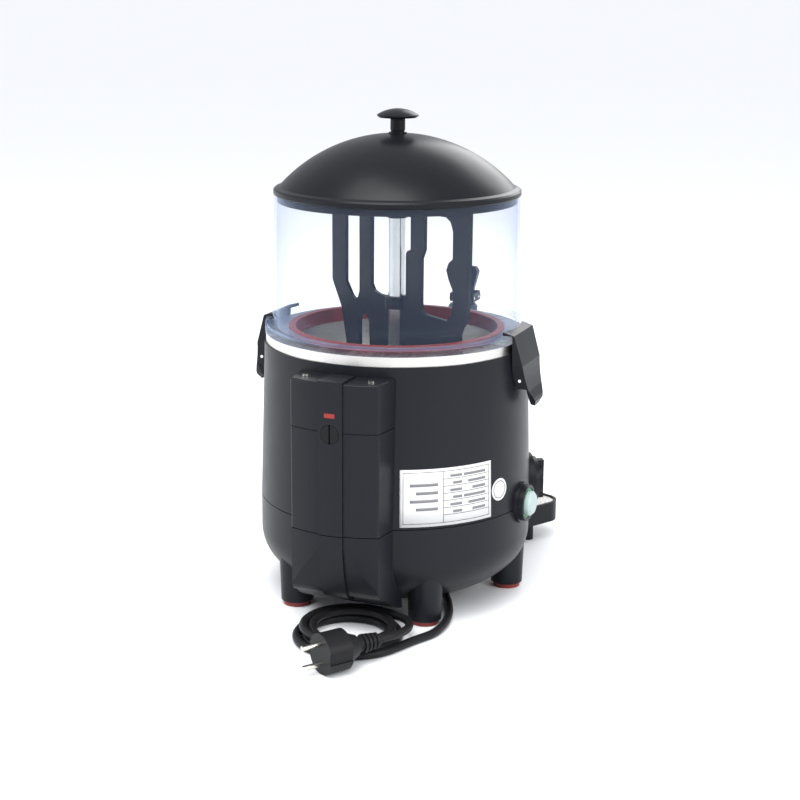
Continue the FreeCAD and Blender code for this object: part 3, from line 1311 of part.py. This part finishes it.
def rounded_route(points):
    """Straight runs with tangent arcs as large as the runs allow; prints the radii."""
    spots = [Vector(*p) for p in points]
    edges, radii = [], []
    here = spots[0]
    for i in range(1, len(spots) - 1):
        before, after = spots[i] - spots[i - 1], spots[i + 1] - spots[i]
        turn = before.getAngle(after)
        reach = 0.45 * min(before.Length, after.Length)
        radii.append(round(reach / math.tan(turn / 2), 1))
        way_in, way_out = Vector(before).normalize(), Vector(after).normalize()
        arc_start, arc_end = spots[i] - way_in * reach, spots[i] + way_out * reach
        edges.append(Part.LineSegment(here, arc_start))
        edges.append(arc_from(arc_start, way_in, arc_end))
        here = arc_end
    edges.append(Part.LineSegment(here, spots[-1]))
    print("radii", radii)
    return edges


def least_gap(solid_edges, radius):
    """Least distance of the winding to itself, on points a few millimetres apart."""
    path = Part.Wire([edge.toShape() for edge in solid_edges])
    count = int(path.Length / 3)
    points = path.discretize(Number=count)
    step = path.Length / (count - 1)
    skip = int(math.ceil(8 * radius / step))
    best = 1e9
    for i in range(0, count):
        for j in range(i + skip, count):
            best = min(best, (points[i] - points[j]).Length)
    return best - 2 * radius


def make_cord():
    radius = float(dim.cord_radius)
    places, ways = coil_course()
    lead_in = along(places[0], ways[0] * -1, 2 * radius)
    lead_out = along(places[-1], ways[-1], 2 * radius)
    coil = [Part.LineSegment(lead_in, places[0])]
    for i in range(len(places) - 1):
        coil += biarc(places[i], ways[i], places[i + 1], ways[i + 1])
    coil.append(Part.LineSegment(places[-1], lead_out))
    solid, length = tube(coil, radius)
    part("cord_coil", solid_of("coil", solid))
    section = math.pi * radius * radius
    print("coil: length %.0f, volume ratio %.4f, least gap %.2f" % (
        length, solid.Volume / (section * length), least_gap(coil, radius)))
    lead, lead_length = tube(rounded_route(LEAD_ROUTE + [tuple(lead_in)]), radius)
    part("cord_lead", solid_of("lead", lead))
    plug_start, plug_way = plug_place()
    tail_points = [tuple(lead_out)] + TAIL_ROUTE + [tuple(plug_start)]
    tail, tail_length = tube(rounded_route(tail_points), radius)
    part("cord_tail", solid_of("tail", tail))
    print("lead: length %.0f, ratio %.4f; tail: length %.0f, ratio %.4f" % (
        lead_length, lead.Volume / (section * lead_length),
        tail_length, tail.Volume / (section * tail_length)))
    make_gland(radius)
    make_plug(plug_start, plug_way, radius)


def plug_place():
    """Where the plug's strain relief starts and which way the plug points."""
    last = Vector(*TAIL_ROUTE[-1])
    way = Vector(0.566, 0.824, 0).normalize()
    return along(last, way, 19), way


def make_gland(radius):
    """Entry block under the base plate and the strain relief that leaves it."""
    start = Vector(*LEAD_ROUTE[0])
    way = (Vector(*LEAD_ROUTE[1]) - start).normalize()
    relief_foot = along(start, way, -float(dim.entry_relief))
    relief = Part.makeCone(radius + 3, radius + 1, float(dim.entry_relief), relief_foot, way)
    part("entry_relief", solid_of("entry_relief_cone", relief))
    length, width = float(dim.gland_length), float(dim.gland_width)
    low = 0.8
    box = Part.makeBox(length, width, float(dim.floor_clearance) - low)
    box.translate(Vector(-length - 0.4, -width / 2, low))
    box.rotate(Vector(), Vector(0, 0, 1), math.degrees(math.atan2(way.y, way.x)))
    box.translate(Vector(relief_foot.x, relief_foot.y, 0))
    part("cord_gland", solid_of("gland", box))


def make_plug(start, way, radius):
    """Two-pin earthed mains plug on its side: ribbed relief, neck, body and pins."""
    relief = float(dim.relief_length)
    neck = float(dim.neck_length)
    body = float(dim.plug_length)
    wide = float(dim.plug_body_radius)
    pieces = [Part.makeCone(radius + 1.4, radius + 3.6, relief, start, way)]
    ribs = 4
    for i in range(ribs):
        at = along(start, way, 3 + i * (relief - 8) / ribs)
        pieces.append(Part.makeCylinder(radius + 3.4 + 0.5 * i, 2.6, at, way))
    at = along(start, way, relief)
    pieces.append(Part.makeCone(radius + 6, wide - 3.5, neck, at, way))
    at = along(at, way, neck)
    full = Part.makeCylinder(wide, body, at, way)
    side = way.cross(Vector(0, 0, 1)).normalize()
    for sign in (-1, 1):
        groove = Part.makeBox(body + 2, 4.4, 11)
        groove.translate(Vector(-1, -2.2, -5.5))
        frame = FreeCAD.Rotation(way, side, Vector(0, 0, 1), "XYZ")
        groove.Placement = FreeCAD.Placement(at + side * sign * wide, frame).multiply(
            groove.Placement)
        full = full.cut(groove)
    pieces.append(full)
    part("plug_body", solid_of("plug", pieces[0].multiFuse(pieces[1:]).removeSplitter()))
    face = along(at, way, body)
    metal = []
    half = float(dim.plug_pin_pitch) / 2
    for sign in (-1, 1):
        metal.append(Part.makeCylinder(float(dim.plug_pin_radius),
                                       float(dim.plug_pin_length),
                                       face + Vector(0, 0, sign * half), way))
    part("plug_pins", solid_of("pins", Part.makeCompound(metal)))


make_cord()


def write_parts():
    """Checks every object, then writes one STEP file for each piece."""
    DOC.recompute()
    for thing in DOC.Objects:
        bad = [state for state in thing.State if state in ("Invalid", "Error")]
        if bad:
            raise RuntimeError("%s is %s" % (thing.Name, bad))
    os.makedirs("parts", exist_ok=True)
    for node, thing in PARTS:
        shape = thing.Shape
        if shape.isNull() or not shape.isValid() or not shape.Solids:
            raise RuntimeError("%s has no valid shape" % node)
        shape.exportStep("parts/%s.step" % node)
        box = shape.BoundBox
        print("%-16s %2d solids %9.0f mm3  x %7.1f %7.1f  y %7.1f %7.1f  z %6.1f %6.1f" % (
            node, len(shape.Solids), shape.Volume, box.XMin, box.XMax, box.YMin, box.YMax,
            box.ZMin, box.ZMax))
    print("pieces", len(PARTS))


write_parts()
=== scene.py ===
"""Hot chocolate dispenser: finishes, label, sticker, the coiled cord and a plain
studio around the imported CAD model. Lengths are in metres."""
import math
import bpy
import numpy as np
from mathutils import Matrix, Vector


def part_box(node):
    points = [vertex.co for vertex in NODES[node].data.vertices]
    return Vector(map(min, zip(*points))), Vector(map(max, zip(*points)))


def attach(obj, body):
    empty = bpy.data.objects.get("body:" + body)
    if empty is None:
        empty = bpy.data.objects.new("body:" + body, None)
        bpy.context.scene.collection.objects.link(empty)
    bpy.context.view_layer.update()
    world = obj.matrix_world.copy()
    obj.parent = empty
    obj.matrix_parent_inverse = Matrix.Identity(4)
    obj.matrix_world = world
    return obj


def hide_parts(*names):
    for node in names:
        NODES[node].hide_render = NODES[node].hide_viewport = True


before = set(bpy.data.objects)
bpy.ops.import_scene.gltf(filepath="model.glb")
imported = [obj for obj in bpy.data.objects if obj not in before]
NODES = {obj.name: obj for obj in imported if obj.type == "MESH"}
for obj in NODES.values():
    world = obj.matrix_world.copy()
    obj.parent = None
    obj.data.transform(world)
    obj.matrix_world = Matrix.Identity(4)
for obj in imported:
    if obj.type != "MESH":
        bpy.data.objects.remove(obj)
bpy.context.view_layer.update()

# The machine's upright axis in the row frame
AXIS_Y = 0.0375
MM = 0.001

# Photograph: 800 pixels square, taken from behind and above
PHOTO_SIDE = 800
CAMERA_FAR = 1.60506
CAMERA_HIGH = 0.60168
CAMERA_TURN = 0.376028
CAMERA_PITCH = 0.2491
CAMERA_ROLL = 0.0062
FOCAL_PIXELS = 1645.05
CENTRE_X = 396.09
CENTRE_Y = 400.0
SENSOR_WIDTH = 36.0


class Maths:
    """A shader value that adds and multiplies with plain operators."""

    def __init__(self, finish, socket):
        self.finish = finish
        self.socket = socket

    def joined(self, operation, other, clamp=False):
        made = self.finish.node("ShaderNodeMath", {0: self, 1: other},
                                operation=operation, use_clamp=clamp)
        return Maths(self.finish, made.outputs[0])

    def __add__(self, other):
        return self.joined("ADD", other)

    def __mul__(self, other):
        return self.joined("MULTIPLY", other)

    __radd__ = __add__
    __rmul__ = __mul__

    def power(self, exponent):
        return self.joined("POWER", exponent)

    def clamped(self):
        return self.joined("ADD", 0.0, clamp=True)


class Finish:
    """One material: a Principled shader and the few nodes that vary it."""

    def __init__(self, name, color, roughness, metallic=0.0, **fixed):
        self.material = bpy.data.materials.new(name)
        self.material.use_nodes = True
        self.tree = self.material.node_tree
        self.shader = self.tree.nodes["Principled BSDF"]
        self.shader.inputs["Base Color"].default_value = (*color, 1.0)
        self.shader.inputs["Roughness"].default_value = roughness
        self.shader.inputs["Metallic"].default_value = metallic
        for socket, value in fixed.items():
            self.shader.inputs[socket.replace("_", " ")].default_value = value

    def node(self, kind, sockets, **settings):
        """One node: its settings first, then a value or a link for each socket."""
        made = self.tree.nodes.new(kind)
        for setting, value in settings.items():
            setattr(made, setting, value)
        for socket, value in sockets.items():
            if isinstance(value, Maths):
                value = value.socket
            if isinstance(value, bpy.types.NodeSocket):
                self.tree.links.new(value, made.inputs[socket])
            else:
                made.inputs[socket].default_value = value
        return made

    def noise(self, scale, stretch=(1.0, 1.0, 1.0), detail=3.0):
        """Noise on the piece's own coordinates, finer along the axes that are stretched."""
        coords = self.node("ShaderNodeTexCoord", {})
        mapping = self.node("ShaderNodeMapping",
                            {"Vector": coords.outputs["Object"], "Scale": stretch})
        made = self.node("ShaderNodeTexNoise", {"Vector": mapping.outputs[0],
                                                "Scale": scale, "Detail": detail})
        return Maths(self, made.outputs["Fac"])

    def vary_gloss(self, pattern, swing, middle):
        """Roughness follows the pattern, by half the swing above and below the middle."""
        value = (pattern * swing + (middle - swing / 2)).clamped()
        self.tree.links.new(value.socket, self.shader.inputs["Roughness"])

    def bump(self, height, strength, distance):
        """Fine relief in the shading from a pattern of heights."""
        made = self.node("ShaderNodeBump", {"Strength": strength, "Distance": distance,
                                            "Height": height})
        self.tree.links.new(made.outputs[0], self.shader.inputs["Normal"])


def moulded(name, color, roughness):
    """Moulded plastic: faint uneven gloss and a fine grain."""
    finish = Finish(name, color, roughness, Specular_IOR_Level=0.16)
    finish.vary_gloss(finish.noise(45.0), 0.10, roughness)
    finish.bump(finish.noise(2600.0, detail=1.0), 0.04, 0.00006)
    return finish.material


def brushed(name, color, roughness, stretch):
    """Steel with brush lines along one direction."""
    finish = Finish(name, color, roughness, 1.0)
    lines = finish.noise(260.0, stretch)
    finish.vary_gloss(lines, 0.22, roughness)
    finish.bump(lines, 0.10, 0.00008)
    return finish.material


def soft(name, color, roughness):
    """Silicone, paper and ink: matt, with a soft fine grain."""
    finish = Finish(name, color, roughness)
    finish.vary_gloss(finish.noise(80.0), 0.14, roughness)
    finish.bump(finish.noise(900.0, detail=2.0), 0.10, 0.0001)
    return finish.material


def clear_bowl():
    """Clear polycarbonate: see-through where it is met square on, blue along its edges."""
    finish = Finish("clear polycarbonate", (0.40, 0.52, 0.78), 0.04, IOR=1.45)
    clear = finish.node("ShaderNodeBsdfTransparent", {"Color": (0.978, 0.986, 0.993, 1.0)})
    edge = finish.node("ShaderNodeLayerWeight", {"Blend": 0.28})
    facing = Maths(finish, edge.outputs["Facing"])
    amount = (facing.power(2.6) * 0.78 + 0.02).clamped()
    mix = finish.node("ShaderNodeMixShader", {0: amount, 1: clear.outputs[0],
                                              2: finish.shader.outputs[0]})
    finish.tree.links.new(mix.outputs[0], finish.tree.nodes["Material Output"].inputs[0])
    return finish.material


CHARCOAL = moulded("charcoal plastic", (0.0095, 0.0100, 0.0130), 0.36)
LID = moulded("lid plastic", (0.0075, 0.0080, 0.0100), 0.30)
DARK = moulded("dark plastic", (0.0080, 0.0080, 0.0095), 0.5)
CLEAR = clear_bowl()
RED = soft("red silicone", (0.21, 0.020, 0.016), 0.45)
PALE = soft("pale silicone", (0.74, 0.72, 0.66), 0.5)
STEEL = brushed("brushed steel", (0.66, 0.65, 0.62), 0.30, (1.0, 1.0, 14.0))
TUBE = brushed("polished tube", (0.58, 0.58, 0.57), 0.24, (12.0, 12.0, 1.0))
BRIGHT = brushed("bright steel", (0.74, 0.74, 0.73), 0.2, (6.0, 6.0, 6.0))
ZINC = brushed("zinc plate", (0.42, 0.43, 0.44), 0.42, (3.0, 3.0, 3.0))
GREEN = moulded("green ring", (0.005, 0.19, 0.055), 0.28)
MILKY = moulded("milky plastic", (0.36, 0.44, 0.43), 0.22)
SHEATH = moulded("cord sheath", (0.010, 0.010, 0.011), 0.42)
NICKEL = brushed("nickel plate", (0.66, 0.64, 0.58), 0.22, (8.0, 8.0, 1.0))
PAPER = soft("label paper", (0.62, 0.62, 0.62), 0.5)
INK = soft("label ink", (0.05, 0.05, 0.055), 0.55)
GREY_INK = soft("pale label ink", (0.17, 0.17, 0.18), 0.55)
RED_INK = soft("red label ink", (0.24, 0.012, 0.010), 0.5)

FINISHES = {
    LID: ["lid_dome", "lid_knob"],
    CHARCOAL: ["upper_casing", "lower_casing", "casing_legs", "rear_cover", "rear_strip",
               "front_cover", "latch_left", "latch_right", "drip_tray", "tap_lever",
               "tap_bonnet", "tap_body", "thermostat_knob", "thermostat_ring",
               "switch_bezel", "column_bush", "paddle"],
    DARK: ["base_plate", "level_plug", "cord_gland", "switch_body", "thermostat_body",
           "shaft_coupling"],
    CLEAR: ["bowl"],
    RED: ["bowl_seal", "foot_pads"],
    PALE: ["tap_seal", "tap_bellows"],
    STEEL: ["heated_pan", "water_tank", "drip_grid", "motor_bridge", "heater_element"],
    TUBE: ["column_tube", "drive_shaft", "level_pipe"],
    BRIGHT: ["knob_screw", "cover_screws", "latch_pins", "latch_brackets", "lever_pin",
             "rod_pin", "tap_rod", "tap_nut"],
    ZINC: ["gear_motor"],
    GREEN: ["switch_ring"],
    MILKY: ["switch_button"],
    SHEATH: ["cord_lead", "cord_coil", "cord_tail", "entry_relief", "plug_body"],
    NICKEL: ["plug_pins"],
}


def dress_frame():
    """Gives every CAD node its finish."""
    for finish, names in FINISHES.items():
        for name in names:
            mesh = NODES[name].data
            mesh.materials.clear()
            mesh.materials.append(finish)


dress_frame()


def surface(name, points, faces, material, smooth=True):
    """A mesh object at the origin with its place in its vertices."""
    mesh = bpy.data.meshes.new(name)
    mesh.from_pydata(np.asarray(points, float).tolist(), [], np.asarray(faces).tolist())
    mesh.materials.append(material)
    mesh.polygons.foreach_set("use_smooth", [smooth] * len(mesh.polygons))
    mesh.update()
    made = bpy.data.objects.new(name, mesh)
    bpy.context.scene.collection.objects.link(made)
    return made


def quads(before, after):
    """Corner numbers of the quads between rows of points and the rows after them."""
    corners = [before[:, :-1], after[:, :-1], after[:, 1:], before[:, 1:]]
    return np.stack(corners, axis=-1).reshape(-1, 4)


# Upper casing outside: a straight taper, 5 mm over 155.2 mm of height above the seam
SEAM_RADIUS = 136.0 * MM
SEAM_HEIGHT = 101.8 * MM
CASING_TAPER = 5.0 / 155.2


def on_casing(angle, height, proud):
    """Points proud of the casing: (-r sin a, axis - r cos a, z), with the casing's own
    radius at z. The angle runs from the front towards -X."""
    angle, height = np.broadcast_arrays(angle, height)
    radius = SEAM_RADIUS - CASING_TAPER * (height - SEAM_HEIGHT) + proud
    return np.stack([-radius * np.sin(angle), AXIS_Y - radius * np.cos(angle), height],
                    axis=-1)


PAPER_PROUD = 0.25 * MM
PRINT_PROUD = 0.35 * MM
SHEET_THICK = 0.12 * MM


def casing_patch(name, angles, heights, proud, material, steps):
    """Thin sheet between two angles and two heights: a grid on the casing, the same grid
    set in by the sheet's thickness, and a strip around their edges."""
    across = np.linspace(*angles, steps)[:, None]
    up = np.linspace(*heights, 4)[None, :]
    outer = on_casing(across, up, proud)
    inner = on_casing(across, up, proud - SHEET_THICK)
    count = outer.shape[0] * outer.shape[1]
    index = np.arange(count).reshape(outer.shape[:2])
    inward = quads(index[:-1], index[1:])
    outward = inward[:, [0, 3, 2, 1]]
    edge = np.concatenate([index[:, 0], index[-1, 1:], index[-2::-1, -1], index[0, -2:0:-1]])
    ahead = np.roll(edge, -1)
    rim = np.stack([edge, ahead, ahead + count, edge + count], axis=-1)
    faces = np.concatenate([outward, inward + count, rim])
    points = np.concatenate([outer.reshape(-1, 3), inner.reshape(-1, 3)])
    return surface(name, points, faces, material)


LABEL_ANGLES = (math.radians(116.0), math.radians(156.8))
LABEL_HEIGHTS = (0.104, 0.160)
LABEL_BEND = 0.134
RULE = 0.5 * MM
PRINT_LEFT, PRINT_RIGHT, PRINT_COLUMN = 0.03, 0.97, 0.56
PRINT_LOW, PRINT_HIGH = 0.05, 0.95


def make_label():
    """White rating label with ruled lines and grey bars in place of its text. Places on
    it are shares of its width and height."""
    made = [casing_patch("rating_label", LABEL_ANGLES, LABEL_HEIGHTS, PAPER_PROUD, PAPER, 40)]
    low, high = LABEL_HEIGHTS
    first, last = LABEL_ANGLES
    span = last - first

    def bar(left, right, foot, head, ink):
        made.append(casing_patch("label_print", (first + span * left, first + span * right),
                                 (low + (high - low) * foot, low + (high - low) * head),
                                 PRINT_PROUD, ink, 12))

    rule = RULE / (high - low)
    side = RULE / LABEL_BEND / span
    for foot in (PRINT_LOW, PRINT_HIGH - rule):
        bar(PRINT_LEFT, PRINT_RIGHT, foot, foot + rule, INK)
    for left in (PRINT_LEFT, PRINT_COLUMN, PRINT_RIGHT - side):
        bar(left, left + side, PRINT_LOW, PRINT_HIGH, INK)
    for row in range(6):
        foot = 0.18 + 0.125 * row
        bar(PRINT_LEFT, PRINT_COLUMN, foot, foot + rule, INK)
        bar(0.08, 0.24 + 0.05 * (row % 3), foot + 0.03, foot + 0.075, GREY_INK)
        bar(0.36, 0.46 + 0.03 * (row % 2), foot + 0.03, foot + 0.075, GREY_INK)
    for row in range(4):
        foot = 0.70 - 0.14 * row
        bar(0.62, 0.90 - 0.06 * (row % 2), foot, foot + 0.05, GREY_INK)
    return made


STICKER_ANGLE = math.radians(110.8)
STICKER_HEIGHT = 0.1285
STICKER_RADIUS = 0.011
STICKER_BEND = 0.1345


def ring_on_casing(name, inside, outside, rings, proud, material):
    """Flat ring or disc laid on the casing: a polar grid, its width along the bend."""
    reach = np.linspace(inside, outside, rings)[None, :]
    turn = np.linspace(0, 2 * math.pi, 49)[:-1, None]
    grid = on_casing(STICKER_ANGLE + reach * np.cos(turn) / STICKER_BEND,
                     STICKER_HEIGHT + reach * np.sin(turn), proud)
    index = np.arange(grid.shape[0] * rings).reshape(-1, rings)
    return surface(name, grid.reshape(-1, 3), quads(index, np.roll(index, -1, axis=0)),
                   material)


def make_sticker():
    """Round blank sticker beside the label, with a thin ring in place of its print."""
    return [ring_on_casing("round_sticker", 0.0, STICKER_RADIUS, 6, PAPER_PROUD, PAPER),
            ring_on_casing("sticker_ring", STICKER_RADIUS * 0.72, STICKER_RADIUS * 0.80, 3,
                           PRINT_PROUD, GREY_INK)]


for piece in make_label() + make_sticker():
    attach(piece, "machine")

MARK_HALF = 5.2 * MM
MARK_HEIGHTS = (0.2150, 0.2192)
MARK_PROUD = 0.1 * MM


def make_level_mark():
    """Plain red level bar: a flat sheet on the rear strip above the level plug."""
    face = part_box("rear_strip")[1][1] + MARK_PROUD
    across, up = np.meshgrid(np.linspace(-MARK_HALF, MARK_HALF, 5), MARK_HEIGHTS,
                             indexing="ij")
    points = np.stack([across, np.full(across.shape, face), up], axis=-1)
    index = np.arange(across.size).reshape(across.shape)
    return surface("level_mark", points.reshape(-1, 3), quads(index[:-1], index[1:]), RED_INK)


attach(make_level_mark(), "machine")

# The cord's route, as in the part's source: coil in metres, lead and tail in millimetres
# about the machine's axis
CORD_RADIUS = 0.004
COIL_CENTRE = Vector((-0.017, 0.158 + AXIS_Y, 0.00405))
COIL_RADIUS = 0.054
COIL_PITCH = 0.0087
COIL_START = math.radians(159.5)
COIL_INMOST = 2.25
COIL_TURNS = 3.75
COIL_CLIMB = 0.5
COIL_STEPS = 150
LEAD = [(-52, 10, 7.9), (-64, 27, 7.4), (-76, 47, 4.6), (-86, 72, 4.05), (-91.5, 100, 4.05),
        (-90, 127, 4.05), (-79, 148.4, 4.05)]
TAIL = [(-54.6, 120.3, 12.75), (-67.8, 133.4, 14.60), (-75.1, 155.1, 16.90),
        (-72.0, 177.7, 19.10)]
PLUG_WAY = Vector((0.566, 0.824, 0.0)).normalized()
PLUG_RUN = 0.019
CORNER_SHARE = 0.45
CORNER_STEPS = 8
TANGENT_STEP = 1e-4


def in_row_frame(point):
    """A point in millimetres about the machine's axis, as metres in the row frame."""
    return Vector((point[0] * MM, point[1] * MM + AXIS_Y, point[2] * MM))


def coil_point(turn):
    """Point of the coil: in by one pitch a turn to the inmost, then out again, while the
    height climbs one pitch over half a turn there."""
    radius = COIL_RADIUS - COIL_PITCH * (COIL_INMOST - abs(turn - COIL_INMOST))
    rise = min(max((turn - COIL_INMOST) / COIL_CLIMB + 0.5, 0.0), 1.0)
    angle = COIL_START - 2 * math.pi * turn
    return COIL_CENTRE + Vector((radius * math.cos(angle), radius * math.sin(angle),
                                 COIL_PITCH * rise * rise * (3 - 2 * rise)))


def rounded(points):
    """Straight runs joined by arcs that touch both, over a share of the shorter run."""
    path = [points[0]]
    for before, corner, after in zip(points, points[1:], points[2:]):
        back, ahead = before - corner, after - corner
        reach = CORNER_SHARE * min(back.length, ahead.length)
        start = corner + back.normalized() * reach
        end = corner + ahead.normalized() * reach
        turn = math.pi - back.angle(ahead)
        radius = reach / math.tan(turn / 2)
        inward = (back.normalized() + ahead.normalized()).normalized()
        centre = corner + inward * (radius / math.cos(turn / 2))
        for i in range(CORNER_STEPS + 1):
            spoke = start.lerp(end, i / CORNER_STEPS) - centre
            path.append(centre + spoke.normalized() * radius)
    path.append(points[-1])
    return path


def cord_curve(name, points):
    """Round cord on a smooth line through its points."""
    curve = bpy.data.curves.new(name, "CURVE")
    curve.dimensions = "3D"
    curve.bevel_depth = CORD_RADIUS
    curve.bevel_resolution = 5
    curve.use_fill_caps = True
    curve.resolution_u = 4
    spline = curve.splines.new("NURBS")
    spline.points.add(len(points) - 1)
    for spot, point in zip(spline.points, points):
        spot.co = (*point, 1.0)
    spline.order_u = 3
    spline.use_endpoint_u = True
    curve.materials.append(SHEATH)
    made = bpy.data.objects.new(name, curve)
    bpy.context.scene.collection.objects.link(made)
    return made


def make_cord():
    """The whole mains cord as one line: lead, coil and tail up to the plug."""
    coil = [coil_point(COIL_TURNS * i / COIL_STEPS) for i in range(COIL_STEPS + 1)]
    way_in = (coil_point(TANGENT_STEP) - coil_point(0)).normalized()
    way_out = (coil_point(COIL_TURNS) - coil_point(COIL_TURNS - TANGENT_STEP)).normalized()
    first = coil[0] - way_in * 2 * CORD_RADIUS
    last = coil[-1] + way_out * 2 * CORD_RADIUS
    tail = [in_row_frame(p) for p in TAIL]
    plug = tail[-1] + PLUG_WAY * PLUG_RUN
    path = rounded([in_row_frame(p) for p in LEAD] + [first]) + coil
    path += rounded([last] + tail + [plug])
    made = cord_curve("mains_cord", path)
    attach(made, "machine")
    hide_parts("cord_lead", "cord_coil", "cord_tail")
    length = sum((b - a).length for a, b in zip(path, path[1:]))


make_cord()

FLOOR_REACH = 120
SKY_STRENGTH = 0.62
SUN_STRENGTH = 2.2
SUN_WIDTH = math.radians(50)
SUN_TURN = (math.radians(-28), math.radians(-12), 0)
LAMP_TARGET = Vector((0, AXIS_Y, 0.22))

# Name, place, side and power of each square lamp
LAMPS = (("top softbox", (0.3, 0.9, 2.3), 1.6, 38),
         ("left softbox", (1.9, 0.9, 0.9), 1.1, 16),
         ("right softbox", (-2.0, 0.7, 1.1), 1.1, 22),
         ("front softbox", (-0.2, -1.9, 1.3), 1.3, 18))


def make_lamp(name, kind, power):
    """A lamp of one kind, linked and ready to be set in its place."""
    lamp = bpy.data.lights.new(name, kind)
    lamp.energy = power
    made = bpy.data.objects.new(name, lamp)
    bpy.context.scene.collection.objects.link(made)
    return made


def make_studio():
    """Wide pale floor, a broad sun, and soft lamps above and at both sides."""
    paper = Finish("studio paper", (0.83, 0.84, 0.86), 0.6).material
    far = FLOOR_REACH
    floor = surface("floor", [(-far, -far, 0), (far, -far, 0), (far, far, 0), (-far, far, 0)],
                    [(0, 1, 2, 3)], paper, False)
    world = bpy.data.worlds.new("studio")
    bpy.context.scene.world = world
    world.use_nodes = True
    sky = world.node_tree.nodes["Background"]
    sky.inputs["Color"].default_value = (0.93, 0.95, 1.0, 1.0)
    sky.inputs["Strength"].default_value = SKY_STRENGTH
    sun = make_lamp("sun", "SUN", SUN_STRENGTH)
    sun.data.angle = SUN_WIDTH
    sun.rotation_euler = SUN_TURN
    for name, spot, side, power in LAMPS:
        made = make_lamp(name, "AREA", power)
        made.data.shape = "SQUARE"
        made.data.size = side
        made.location = spot
        toward = LAMP_TARGET - Vector(spot)
        made.rotation_euler = toward.to_track_quat("-Z", "Y").to_euler()


def make_camera():
    """Camera solved from the photograph's circles."""
    lens = bpy.data.cameras.new("camera")
    lens.sensor_width = SENSOR_WIDTH
    lens.lens = FOCAL_PIXELS * SENSOR_WIDTH / PHOTO_SIDE
    lens.shift_x = (PHOTO_SIDE / 2 - CENTRE_X) / PHOTO_SIDE
    lens.shift_y = (CENTRE_Y - PHOTO_SIDE / 2) / PHOTO_SIDE
    made = bpy.data.objects.new("camera", lens)
    spot = Vector((-CAMERA_FAR * math.sin(CAMERA_TURN),
                   AXIS_Y + CAMERA_FAR * math.cos(CAMERA_TURN), CAMERA_HIGH))
    flat = Vector((math.sin(CAMERA_TURN), -math.cos(CAMERA_TURN), 0.0))
    ahead = flat * math.cos(CAMERA_PITCH) - Vector((0, 0, math.sin(CAMERA_PITCH)))
    made.matrix_world = (Matrix.Translation(spot)
                         @ ahead.to_track_quat("-Z", "Y").to_matrix().to_4x4()
                         @ Matrix.Rotation(CAMERA_ROLL, 4, "Z"))
    bpy.context.scene.collection.objects.link(made)
    bpy.context.scene.camera = made
    bpy.context.scene.view_settings.view_transform = "Standard"


make_studio()
make_camera()
